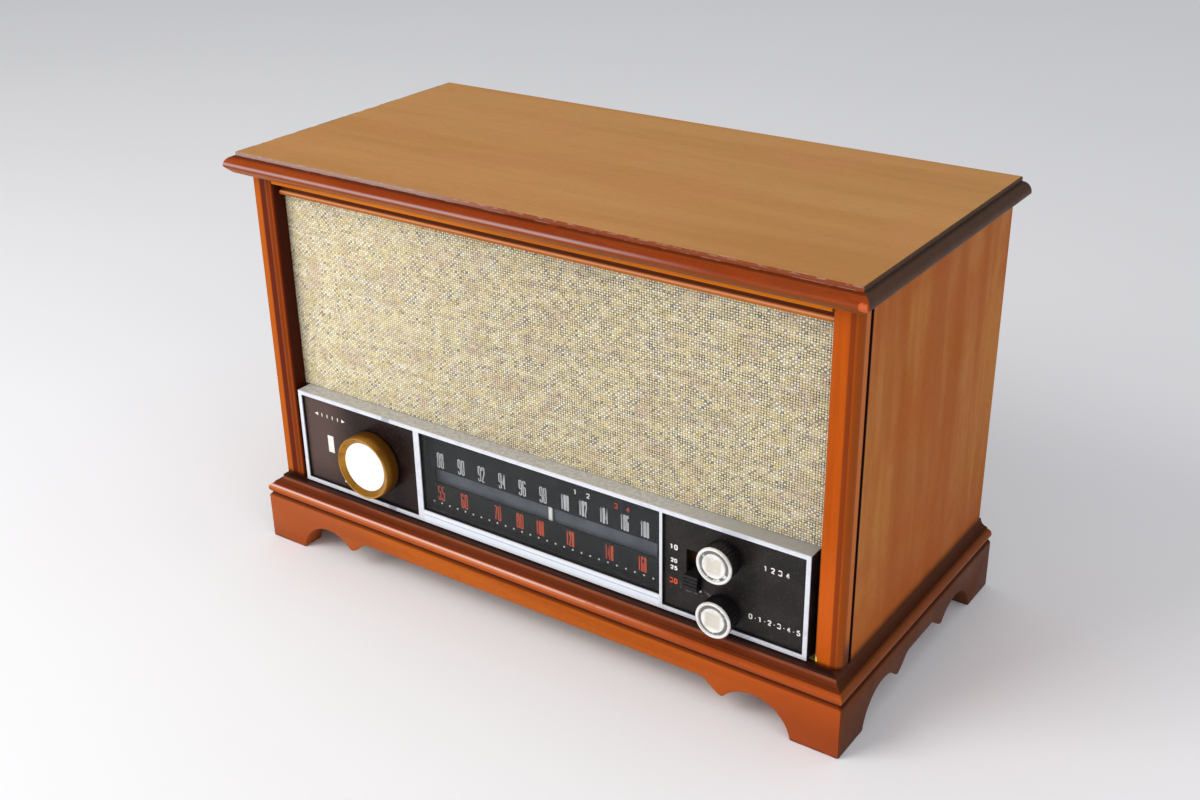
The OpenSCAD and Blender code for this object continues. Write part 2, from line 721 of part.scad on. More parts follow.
pot_bush_r = shaft_r + 1.6;
pot_f = chassis_f + sheet_t;
pot_l = 11;
bush_l = 6;
nut_r = 7.4;
nut_t = 2.4;
power_switch_l = 10;
lug_l = 5;
lug_w = 2;
module potentiometer(z) {
    color("#9a9c9d") difference() {
        union() {
            rod(small_x, z, chassis_f - bush_l, pot_f, pot_bush_r);
            rod(small_x, z, pot_f, pot_f + pot_l, pot_r);
            translate([small_x, fy(chassis_f - nut_t), z]) rotate([-90, 0, 0]) cylinder(r = nut_r, h = nut_t, $fn = 6);
        }
        rod(small_x, z, chassis_f - bush_l - 1, shaft_back + 0.4, shaft_r + shaft_play);
    }
}
module tone_control() potentiometer(tone_z);
module volume_control() {
    switch_back = pot_f + pot_l + power_switch_l;
    potentiometer(volume_z);
    color("#7d7f80") rod(small_x, volume_z, pot_f + pot_l - eps, switch_back, pot_r - 1);
    color("#c9a15a") for (s = [-1, 1])
        box(small_x + 2 * s * lug_w - lug_w / 2, small_x + 2 * s * lug_w + lug_w / 2,
            switch_back - eps, switch_back + lug_l, volume_z - lug_w / 4, volume_z + lug_w / 4);
}

blade_w = 3;
module band_lever() {
    mid_x = lever_x0 + lever_w / 2;
    inner_f = panel_f + panel_t + web_t + 0.6;
    color("#1c1a1a") {
        box(lever_x0, lever_x0 + lever_w, lever_front, inner_f, lever_z0, lever_z0 + lever_h);
        for (i = [-1:1]) translate([lever_x0, fy(lever_front), lever_z0 + lever_h / 2 + 2 * i]) rotate([0, 90, 0])
            cylinder(r = 0.6, h = lever_w, $fn = 24);
        box(lever_x0 - 1.6, lever_x0 + lever_w + 1.6, inner_f - eps, inner_f + 2, lever_z0 - 1, lever_z0 + lever_h + 1);
        box(mid_x - blade_w / 2, mid_x + blade_w / 2, inner_f + 2 - eps, switch_f + 3, lever_z0 + 1.5, lever_z0 + lever_h - 1.5);
    }
}
module band_switch() {
    mid_x = lever_x0 + lever_w / 2;
    foot_f = panel_f + panel_t + web_t;
    z0 = slot_z0 - 5;
    z1 = slot_z0 + slot_h + 5;
    color("#6b4a2e") difference() {
        union() {
            box(mid_x - 8, mid_x + 8, switch_f, switch_f + switch_d, z0, z1);
            box(mid_x - 3, mid_x + 3, foot_f, switch_f + eps, z0, z0 + 3);
            box(mid_x - 3, mid_x + 3, foot_f, switch_f + eps, z1 - 3, z1);
        }
        box(mid_x - blade_w / 2 - 0.5, mid_x + blade_w / 2 + 0.5, switch_f - 1, switch_f + 3.6, slot_z0 + 1, slot_z0 + slot_h - 1);
    }
}

// Idlers, their studs and the drum
idler_w = 4;
stud_r = 1.6;
flange_r = idler_r + 2;
module idler(x) {
    color("#d8c9a0") turned(x, idler_z) polygon([
        [stud_r + shaft_play, cord_f - idler_w / 2], [flange_r, cord_f - idler_w / 2], [flange_r, cord_f - idler_w / 2 + 0.6],
        [idler_r, cord_f - 0.9], [idler_r, cord_f + 0.9], [flange_r, cord_f + idler_w / 2 - 0.6],
        [flange_r, cord_f + idler_w / 2], [stud_r + shaft_play, cord_f + idler_w / 2]
    ]);
}
module left_idler() idler(-idler_x);
module right_idler() idler(idler_x);
module idler_stud(x) {
    turned(x, idler_z) polygon([
        [0, cord_f - idler_w / 2 - 1.2], [stud_r + 0.9, cord_f - idler_w / 2 - 1.2], [stud_r + 0.9, cord_f - idler_w / 2 - 0.4],
        [stud_r, cord_f - idler_w / 2 - 0.4], [stud_r, cord_f + idler_w / 2 + 0.4], [stud_r + 1.4, cord_f + idler_w / 2 + 0.4],
        [stud_r + 1.4, chassis_f + eps], [0, chassis_f + eps]
    ]);
}
drum_w = 6;
web_back = cord_f + drum_w / 2;
spring_z = 13;
module drive_drum() {
    hub_r = shaft_r + 3.4;
    spokes = 3;
    color("#cdbf96") {
        difference() {
            turned(drum_x, drum_z) polygon([
                [knob_bore, cord_f - drum_w / 2 - 1], [hub_r, cord_f - drum_w / 2 - 1], [hub_r, web_back - 1.4],
                [drum_r - 2, web_back - 1.4], [drum_r - 2, cord_f - drum_w / 2], [drum_r + 2.2, cord_f - drum_w / 2],
                [drum_r + 2.2, cord_f - drum_w / 2 + 0.7], [drum_r, cord_f - 1.4], [drum_r, cord_f + 1.4],
                [drum_r + 2.2, web_back - 0.7], [drum_r + 2.2, web_back], [hub_r, web_back], [hub_r, web_back + 1.2],
                [knob_bore, web_back + 1.2]
            ]);
            for (i = [0:spokes - 1]) translate([drum_x, 0, drum_z]) rotate([0, 30 - turn0 - 120 * i, 0])
                rod(drum_r * 0.56, 0, web_back - 2, web_back + 1, drum_r * 0.22);
            translate([drum_x, 0, drum_z]) rotate([0, 180 - turn0, 0])
                box(-1.5, 1.5, cord_f - drum_w / 2 - 1, cord_f + 1.8, drum_r - 3, drum_r + 3);
        }
        translate([drum_x, 0, drum_z]) rotate([0, 180 - turn0, 0])
            rod(0, spring_z - 1, cord_f - 0.5, web_back - 1.4 + eps, 1);
    }
}

// Tuning capacitor: a frame, two stators and a rotor with plates between them
post_r = 1.5;
post_x = drum_x - cap_half_w + 4;
post_zs = [drum_z - 17, drum_z + 17];
module capacitor_frame() {
    x0 = drum_x - cap_half_w;
    x1 = drum_x + cap_half_w;
    mid_f = cap_f + cap_l / 2;
    color("#a7a9ab") difference() {
        union() {
            box(x0, x1, cap_f, cap_f + cap_l, deck_z, deck_z + cap_wall);
            box(x0, x1, cap_f, cap_f + cap_wall, deck_z, deck_z + cap_h);
            box(x0, x1, cap_f + cap_l - cap_wall, cap_f + cap_l, deck_z, deck_z + cap_h);
            box(x0, x1, mid_f - cap_wall / 2, mid_f + cap_wall / 2, deck_z, deck_z + 2 * cap_wall);
        }
        rod(drum_x, drum_z, cap_f - 1, cap_f + cap_l + 1, shaft_r + shaft_play);
    }
}
module stator_plates() {
    reach_x = drum_x - cap_half_w + 2;
    color("#c9cccf") {
        for (g = gang_f, i = [0:gang_n]) slab(g + plate_pitch * (i - 0.5), g + plate_pitch * (i - 0.5) + plate_t) difference() {
            square_between(reach_x, drum_x - 1, drum_z - rotor_r, drum_z + rotor_r);
            translate([drum_x, drum_z]) circle(shaft_r + 3);
        }
        for (z = post_zs) rod(post_x, z, cap_f + cap_wall, cap_f + cap_l - cap_wall, post_r);
    }
}
module rotor_plates() {
    sleeve_r = shaft_r + 1.2;
    color("#d5d7d9") {
        rod(drum_x, drum_z, cord_f - drum_w / 2 - 1, cap_f + cap_l + 2, shaft_r);
        rod(drum_x, drum_z, cap_f + cap_wall + 0.4, cap_f + cap_l - cap_wall - 0.4, sleeve_r);
        for (g = gang_f, i = [0:gang_n - 1]) slab(g + plate_pitch * i, g + plate_pitch * i + plate_t)
            translate([drum_x, drum_z]) rotate(turn0) difference() {
                circle(rotor_r);
                translate([-rotor_r - 1, 0.5]) square([2 * rotor_r + 2, rotor_r + 1]);
            }
    }
}

// Dial cord: a closed loop over four wheels, each [x, z, radius, sense], sense 1 clockwise from the front
shaft_turns = 1;
drum_turns = 1;
wind_pitch = 1.25;
wheels = [
    [idler_x, idler_z, idler_r + lift, 1],
    [-idler_x, idler_z, idler_r + lift, 1],
    [tuning_x, tuning_z, neck_r + lift, -1],
    [drum_x, drum_z, drum_r + lift, 1]
];
function heading(a, b) = let (d = [b[0] - a[0], b[1] - a[1]])
    atan2(d[1], d[0]) - asin((a[3] * a[2] - b[3] * b[2]) / norm(d));
headings = [for (i = [0:3]) heading(wheels[i], wheels[(i + 1) % 4])];
function wrap_less(a, b) = a > b ? wrap_less(a - 360, b) : a;
function wrap_more(a, b) = a < b ? wrap_more(a + 360, b) : a;
function wheel_arc(i, n, extra, pitch) = let (
    w = wheels[i],
    a0 = headings[(i + 3) % 4] + 90 * w[3],
    raw = headings[i] + 90 * w[3],
    a1 = w[3] > 0 ? wrap_less(raw + 720, a0) - 360 * extra : wrap_more(raw - 720, a0) + 360 * extra,
    rise = pitch * abs(a1 - a0) / 360
) [for (k = [0:n]) let (a = a0 + (a1 - a0) * k / n)
    [w[0] + w[2] * cos(a), fy(cord_f + rise * (k / n - 0.5)), w[1] + w[2] * sin(a)]];
cord_path = concat(
    wheel_arc(0, 6, 0, 0),
    wheel_arc(1, 2, 0, 0),
    wheel_arc(2, 21, shaft_turns, wind_pitch),
    wheel_arc(3, 45, drum_turns, 0.05 - wind_pitch)
);
function unit(v) = v / norm(v);
function ring(p, t, r, sides) = let (u = unit(cross(t, [0, 1, 0])), v = cross(u, t))
    [for (j = [0:sides - 1]) p + r * (u * cos(360 * j / sides) + v * sin(360 * j / sides))];
module closed_tube(path, r, sides) {
    n = len(path);
    points = [for (i = [0:n - 1]) let (
        t = unit(unit(path[i] - path[(i + n - 1) % n]) + unit(path[(i + 1) % n] - path[i]))
    ) each ring(path[i], t, r, sides)];
    faces = [for (i = [0:n - 1], j = [0:sides - 1]) let (
        a = i * sides + j, b = i * sides + (j + 1) % sides, i2 = (i + 1) % n, c = i2 * sides + (j + 1) % sides, d = i2 * sides + j
    ) each [[a, b, c], [a, c, d]]];
    polyhedron(points, faces);
}
module dial_cord() {
    color("#c9b47a") closed_tube(cord_path, cord_r, 8);
}

// Spring that keeps the cord tight, hooked inside the drum
spring_r = 1.8;
wire_r = 0.3;
spring_turns = 9;
module cord_spring() {
    low = spring_z + 0.1;
    high = drum_r - 0.5;
    coil0 = 18;
    coil1 = drum_r - 12;
    steps = 10;
    helix = [for (i = [0:spring_turns * steps]) let (a = 360 * i / steps)
        [spring_r * sin(a), spring_r * cos(a) - spring_r, coil0 + (coil1 - coil0) * i / (spring_turns * steps)]];
    path = concat([[0, 0, low]], helix, [[0, 0, high]]);
    n = len(path);
    points = [for (i = [0:n - 1]) let (
        t = unit((i < n - 1 ? unit(path[i + 1] - path[i]) : [0, 0, 0]) + (i > 0 ? unit(path[i] - path[i - 1]) : [0, 0, 0])),
        u = unit(cross(t, [0.1, 1, 0.3])), v = cross(u, t)
    ) each [for (j = [0:5]) path[i] + wire_r * (u * cos(60 * j) + v * sin(60 * j))]];
    faces = concat(
        [[for (j = [5:-1:0]) j]], [[for (j = [0:5]) (n - 1) * 6 + j]],
        [for (i = [0:n - 2], j = [0:5]) let (a = i * 6 + j, b = i * 6 + (j + 1) % 6) each [[a, b, b + 6], [a, b + 6, a + 6]]]
    );
    color("#8f9295") translate([drum_x, fy(cord_f + 1.1), drum_z]) rotate([0, 180 - turn0, 0]) polyhedron(points, faces);
}

// Chassis, with the tuning bush, the idlers' studs and the tube sockets riveted to it
bush_end = chassis_f + 4;
socket_h = 4;
socket_r = tube_r + 1.5;
tube_f = chassis_back - 2.5 * socket_r;
tube_n = 6;
tube_step = (2 * chassis_x - 50) / (tube_n - 1);
tube_xs = [for (i = [0:tube_n - 1]) -chassis_x + 25 + tube_step * i];
module chassis() {
    c = chassis_x;
    color("#8e9194") difference() {
        union() {
            box(-c, c, chassis_f, chassis_back, deck_z - sheet_t, deck_z);
            box(-c, c, chassis_f, chassis_f + sheet_t, floor_z, deck_z);
            box(-c, c, chassis_back - sheet_t, chassis_back, floor_z, deck_z);
            for (s = [-1, 1]) box(s * (c - sheet_t / 2) - sheet_t / 2, s * (c - sheet_t / 2) + sheet_t / 2, chassis_f, chassis_back, floor_z, deck_z);
            rod(tuning_x, tuning_z, cord_f + 4.7, bush_end, shaft_r + 2.4);
            idler_stud(-idler_x);
            idler_stud(idler_x);
            for (x = tube_xs) upright(x, tube_f, deck_z - eps, deck_z + socket_h, socket_r);
        }
        rod(tuning_x, tuning_z, cord_f, bush_end + 1, shaft_r + shaft_play);
        slab(chassis_f - 1, chassis_f + 2) control_holes(pot_bush_r + 0.1);
    }
}
module miniature_tubes() {
    r = tube_r;
    h = tube_h;
    tip = tube_r / 3;
    glass = concat([[0, 0], [r - 1, 0]], arc([r - 1, 1], 1, -90, 0, 3), arc([r * 0.55, h - r * 0.45], r * 0.45, 0, 70, 5), [[tip * 0.6, h + tip / 3], [0, h + tip]]);
    color("#cfd6d6", 0.4) for (x = tube_xs) translate([x, fy(tube_f), deck_z + socket_h]) rotate_extrude() polygon(glass);
}
can_xs = [1.4 * can_w - chassis_x, 2.85 * can_w - chassis_x, 1.3 * can_w, 3.2 * can_w];
can_f = (cap_f + cap_l + tube_f - socket_r - can_w) / 2;
module if_transformers() {
    color("#c3c5c7") for (x = can_xs) translate([x - can_w / 2, fy(can_f), deck_z]) difference() {
        cube([can_w, can_w, can_h]);
        translate([can_w / 2, can_w / 2, can_h - 3]) cylinder(r = can_w / 6, h = 4);
    }
}
module output_transformer() {
    x = -chassis_x + core_w * 0.77;
    f = chassis_f + core_t * 0.75;
    coil = core_h * 0.18;
    half = core_w / 2;
    color("#5b5e61") {
        box(x - half, x + half, f, f + core_t, deck_z, deck_z + core_h);
        box(x - half * 0.6, x + half * 0.6, f - coil, f + core_t + coil, deck_z + coil, deck_z + core_h - coil);
        for (s = [-1, 1]) box(x + s * (half + 3) - 5, x + s * (half + 3) + 5, f + core_t / 4, f + core_t * 0.75, deck_z, deck_z + sheet_t);
    }
}

// Speaker
flange_t = 1.4;
basket_d = 30;
ear_x = speaker_run / 2 + speaker_r * 0.66;
ear_z = speaker_r * 0.62;
pot_rim = 20;
coil_r = 9;
module cone_form(run, r, f0, small_r, f1) {
    hull() {
        translate([speaker_x, fy(f0 + 0.2), speaker_z]) rotate([90, 0, 0]) linear_extrude(0.2) obround(run, r, $fn = 32);
        translate([speaker_x, fy(f1), speaker_z]) rotate([90, 0, 0]) cylinder(r = small_r, h = 0.2, $fn = 32);
    }
}
module speaker_basket() {
    f0 = baffle_back;
    f1 = f0 + flange_t;
    f2 = f1 + basket_d;
    color("#3c3e41") {
        slab(f0, f1) translate([speaker_x, speaker_z]) difference() {
            union() {
                obround(speaker_run, speaker_r);
                for (sx = [-1, 1], sz = [-1, 1]) translate([sx * ear_x, sz * ear_z]) circle(6);
            }
            obround(speaker_run, speaker_r - 6);
            for (sx = [-1, 1], sz = [-1, 1]) translate([sx * ear_x, sz * ear_z]) circle(2);
        }
        difference() {
            cone_form(speaker_run, speaker_r - 4, f1 - 0.2, pot_rim + 3, f2);
            cone_form(speaker_run, speaker_r - 5.5, f1 - 0.3, pot_rim + 1.5, f2 + 0.1);
            for (a = [0:60:300]) translate([speaker_x, fy(f1 + 7), speaker_z]) rotate([0, a + 30, 0]) translate([0, 0, -8]) cube([90, basket_d - 12, 16]);
        }
        rod(speaker_x, speaker_z, f2 - 0.6, f2 + 2, pot_rim + 3.5);
        rod(speaker_x, speaker_z, f2 + 2 - eps, f2 + 14, pot_rim + 2);
        rod(speaker_x, speaker_z, f2 + 14 - eps, f2 + 17, pot_rim);
    }
}
module speaker_cone() {
    f1 = baffle_back + flange_t;
    color("#4a453f") {
        difference() {
            cone_form(speaker_run, speaker_r - 9, f1, coil_r, f1 + cone_d);
            cone_form(speaker_run, speaker_r - 9.6, f1 - 0.3, coil_r - 0.6, f1 + cone_d - 0.4);
        }
        slab(f1 - 0.4, f1) translate([speaker_x, speaker_z]) difference() {
            obround(speaker_run, speaker_r - 6.3);
            obround(speaker_run, speaker_r - 9.4);
        }
        rod(speaker_x, speaker_z, f1 + cone_d - 1, f1 + basket_d - 1.5, coil_r);
    }
}

// Back of the set
rod_f = cover_f - ferrite_off;
rod_z = top_z - ferrite_drop;
module ferrite_antenna() {
    half = ferrite_l / 2;
    winding_l = ferrite_l * 0.3;
    clip_w = ferrite_r * 1.8;
    hold = ferrite_r + 1.5;
    color("#3a3a3d") translate([-half, fy(rod_f), rod_z]) rotate([0, 90, 0]) cylinder(r = ferrite_r, h = ferrite_l);
    color("#a9764a") translate([-winding_l * 0.7, fy(rod_f), rod_z]) rotate([0, 90, 0]) cylinder(r = ferrite_r + 1.1, h = winding_l);
    color("#d9d3c3") for (s = [-1, 1]) translate([s * (half - 1.5 * clip_w) - clip_w / 2, fy(rod_f - hold), rod_z - hold])
        cube([clip_w, cover_f - rod_f + hold, 2 * hold]);
}
screw_r = 1.6;
screw_l = 9;
inlet_w = 24;
inlet_h = 14;
module rear_cover() {
    reach = x_inner - 0.4;
    rows = 5;
    columns = 19;
    step = (2 * reach - 60) / (columns - 1);
    color("#7a5a3c") slab(cover_f, cover_f + cover_t) difference() {
        square_between(-reach, reach, floor_z + 0.4, top_z - 0.4);
        for (i = [0:columns - 1], j = [0:rows - 1]) translate([-reach + 30 + step * i, top_z - 46 - 11 * j]) circle(3.4, $fn = 24);
        for (i = [0:2:columns - 1]) translate([-reach + 30 + step * i, deck_z + 6]) circle(3.4, $fn = 24);
        square_between(inlet_x - inlet_w / 2 - 0.6, inlet_x + inlet_w / 2 + 0.6, inlet_z - inlet_h / 2 - 0.6, inlet_z + inlet_h / 2 + 0.6);
        for (s = [-1, 1], z = screw_zs) translate([s * screw_x, z]) circle(screw_r + 0.4);
    }
}
module ac_inlet() {
    color("#2b2624") {
        box(inlet_x - 16, inlet_x + 16, chassis_back, chassis_back + 2, inlet_z - 9, inlet_z + 9);
        difference() {
            box(inlet_x - inlet_w / 2, inlet_x + inlet_w / 2, chassis_back + 2 - eps, cover_f + cover_t, inlet_z - inlet_h / 2, inlet_z + inlet_h / 2);
            box(inlet_x - inlet_w / 2 + 2, inlet_x + inlet_w / 2 - 2, cover_f - 4, cover_f + cover_t + 1, inlet_z - inlet_h / 2 + 2, inlet_z + inlet_h / 2 - 2);
        }
    }
    color("#c9a15a") for (x = [-6, 6]) rod(inlet_x + x, inlet_z, cover_f - 4 - eps, cover_f + cover_t - 0.6, 1.2);
}
module cover_screws() {
    head_f = cover_f + cover_t;
    color("#c7b27a") for (s = [-1, 1], z = screw_zs) turned(s * screw_x, z) polygon(concat(
        [[0, head_f - screw_l], [screw_r - 0.6, head_f - screw_l], [screw_r, head_f - screw_l + 2], [screw_r, head_f], [4, head_f]],
        arc([0, head_f - 2.4], sqrt(16 + 5.76), 31, 88, 6), [[0, head_f + 2.26]]
    ));
}

top_panel();
left_side();
right_side();
left_stile();
right_stile();
top_rail();
grille_bead();
base_moulding_front();
base_moulding_left();
base_moulding_right();
front_apron();
left_apron();
right_apron();
rear_apron();
glue_blocks();
cabinet_floor();
grille_baffle();
grille_cloth();
dial_escutcheon();
silver_trim();
tuning_panel();
control_panel();
dial_window();
dial_scale();
dial_reflector();
pointer();
pointer_rail();
lamp_holder();
dial_lamp();
tuning_knob();
tuning_knob_disc();
tuning_shaft();
tone_knob();
tone_knob_cap();
tone_shaft();
volume_knob();
volume_knob_cap();
volume_shaft();
tone_control();
volume_control();
band_lever();
band_switch();
left_idler();
right_idler();
drive_drum();
capacitor_frame();
stator_plates();
rotor_plates();
dial_cord();
cord_spring();
chassis();
miniature_tubes();
if_transformers();
output_transformer();
speaker_basket();
speaker_cone();
ferrite_antenna();
rear_cover();
ac_inlet();
cover_screws();
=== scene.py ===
"""Looks of a wooden table radio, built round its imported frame.

Lengths are metres in the frame's own axes: +X is the right-hand side seen from the front, the front looks
along -Y and +Z is up. Every piece stands at the origin with its place in its mesh, so an object coordinate
is also a place on the radio.
"""

from __future__ import annotations

import json
import logging
import math
from dataclasses import dataclass, field, replace
from enum import Enum
from typing import Iterable, Sequence, Union

import bmesh
import bpy
from mathutils import Euler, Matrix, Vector, noise


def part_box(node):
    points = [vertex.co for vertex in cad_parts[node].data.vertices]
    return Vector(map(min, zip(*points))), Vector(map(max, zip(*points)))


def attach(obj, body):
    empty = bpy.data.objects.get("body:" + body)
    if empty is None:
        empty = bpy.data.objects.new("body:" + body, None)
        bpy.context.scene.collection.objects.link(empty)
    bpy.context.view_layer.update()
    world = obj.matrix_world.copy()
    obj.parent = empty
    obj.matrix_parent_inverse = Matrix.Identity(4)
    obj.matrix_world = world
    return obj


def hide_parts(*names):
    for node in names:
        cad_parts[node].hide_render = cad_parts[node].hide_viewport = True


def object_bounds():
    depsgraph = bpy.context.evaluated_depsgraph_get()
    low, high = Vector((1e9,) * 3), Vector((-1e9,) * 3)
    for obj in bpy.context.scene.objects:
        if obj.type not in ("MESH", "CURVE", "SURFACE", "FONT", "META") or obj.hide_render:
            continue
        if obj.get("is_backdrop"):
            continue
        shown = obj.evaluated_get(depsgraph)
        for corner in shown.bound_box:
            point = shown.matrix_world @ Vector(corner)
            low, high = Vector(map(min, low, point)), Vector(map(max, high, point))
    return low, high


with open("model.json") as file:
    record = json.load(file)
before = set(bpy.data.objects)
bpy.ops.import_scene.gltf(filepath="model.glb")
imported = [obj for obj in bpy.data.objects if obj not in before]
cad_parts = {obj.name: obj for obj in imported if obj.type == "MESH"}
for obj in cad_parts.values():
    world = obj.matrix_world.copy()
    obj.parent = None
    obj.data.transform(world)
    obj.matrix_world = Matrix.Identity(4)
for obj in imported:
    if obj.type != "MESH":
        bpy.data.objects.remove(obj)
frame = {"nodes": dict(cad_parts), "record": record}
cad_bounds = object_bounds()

log = logging.getLogger("radio")
MM = 0.001
# A place past every side of the radio, for a reach that has no end.
FAR = 0.3
Point = tuple[float, float, float]
Flat = tuple[float, float]
Colour = tuple[float, float, float, float]
Operand = Union["Wire", float, Point, Colour]


def srgb(red: int, green: int, blue: int) -> Colour:
    """A display colour from 0 to 255, as the linear colour that shaders take.

    Args:
        red: Red.
        green: Green.
        blue: Blue.

    Returns:
        The linear colour, with 1 for alpha.
    """
    def linear(value: float) -> float:
        """One channel without its display curve."""
        return value / 12.92 if value <= 0.04045 else ((value + 0.055) / 1.055) ** 2.4
    return (linear(red / 255), linear(green / 255), linear(blue / 255), 1.0)


def span(datum: float, start: float, end: float) -> Flat:
    """A reach along an axis, from start to end millimetres past a datum."""
    return (datum + start * MM, datum + end * MM)


class Axis(Enum):
    """A direction of the frame, with its place in a vector."""

    X = 0
    Y = 1
    Z = 2


class Wire:
    """A shader socket that adds, multiplies and mixes as a Python value does."""

    def __init__(self, tree: Tree, socket: bpy.types.NodeSocket) -> None:
        """Keeps the socket and the tree that it belongs to."""
        self.tree = tree
        self.socket = socket

    def __add__(self, other: Operand) -> Wire:
        """self + other."""
        return self.tree.combine("ADD", self, other)

    def __radd__(self, other: Operand) -> Wire:
        """other + self."""
        return self.tree.combine("ADD", other, self)

    def __sub__(self, other: Operand) -> Wire:
        """self - other."""
        return self.tree.combine("SUBTRACT", self, other)

    def __rsub__(self, other: Operand) -> Wire:
        """other - self."""
        return self.tree.combine("SUBTRACT", other, self)

    def __mul__(self, other: Operand) -> Wire:
        """self * other."""
        return self.tree.combine("MULTIPLY", self, other)

    def __rmul__(self, other: Operand) -> Wire:
        """other * self."""
        return self.tree.combine("MULTIPLY", other, self)

    def __truediv__(self, other: Operand) -> Wire:
        """self / other."""
        return self.tree.combine("DIVIDE", self, other)

    def __rtruediv__(self, other: Operand) -> Wire:
        """other / self."""
        return self.tree.combine("DIVIDE", other, self)

    def __pow__(self, power: float) -> Wire:
        """A number raised to a power."""
        return self.tree.math("POWER", self, power)

    def size(self) -> Wire:
        """A number without its sign."""
        return self.tree.math("ABSOLUTE", self)

    def part(self, axis: Axis) -> Wire:
        """One component of a vector."""
        return self.tree.node("ShaderNodeSeparateXYZ", sockets={0: self}, output=axis.value)

    def rise(self, low: float, high: float) -> Wire:
        """0 below low and 1 above high, with a smooth step between. A high below low turns it round.

        Args:
            low: Where the step starts.
            high: Where it ends.

        Returns:
            The height of the step.
        """
        turned_round = high < low
        first, last = (high, low) if turned_round else (low, high)
        step = self.tree.node(
            "ShaderNodeMapRange", {"interpolation_type": "SMOOTHSTEP"},
            {"Value": self, "From Min": first, "From Max": last})
        return 1.0 - step if turned_round else step

    def mix(self, first: Operand, second: Operand) -> Wire:
        """From first, where this number is 0, to second, where it is 1."""
        return self.tree.mix(self, first, second)


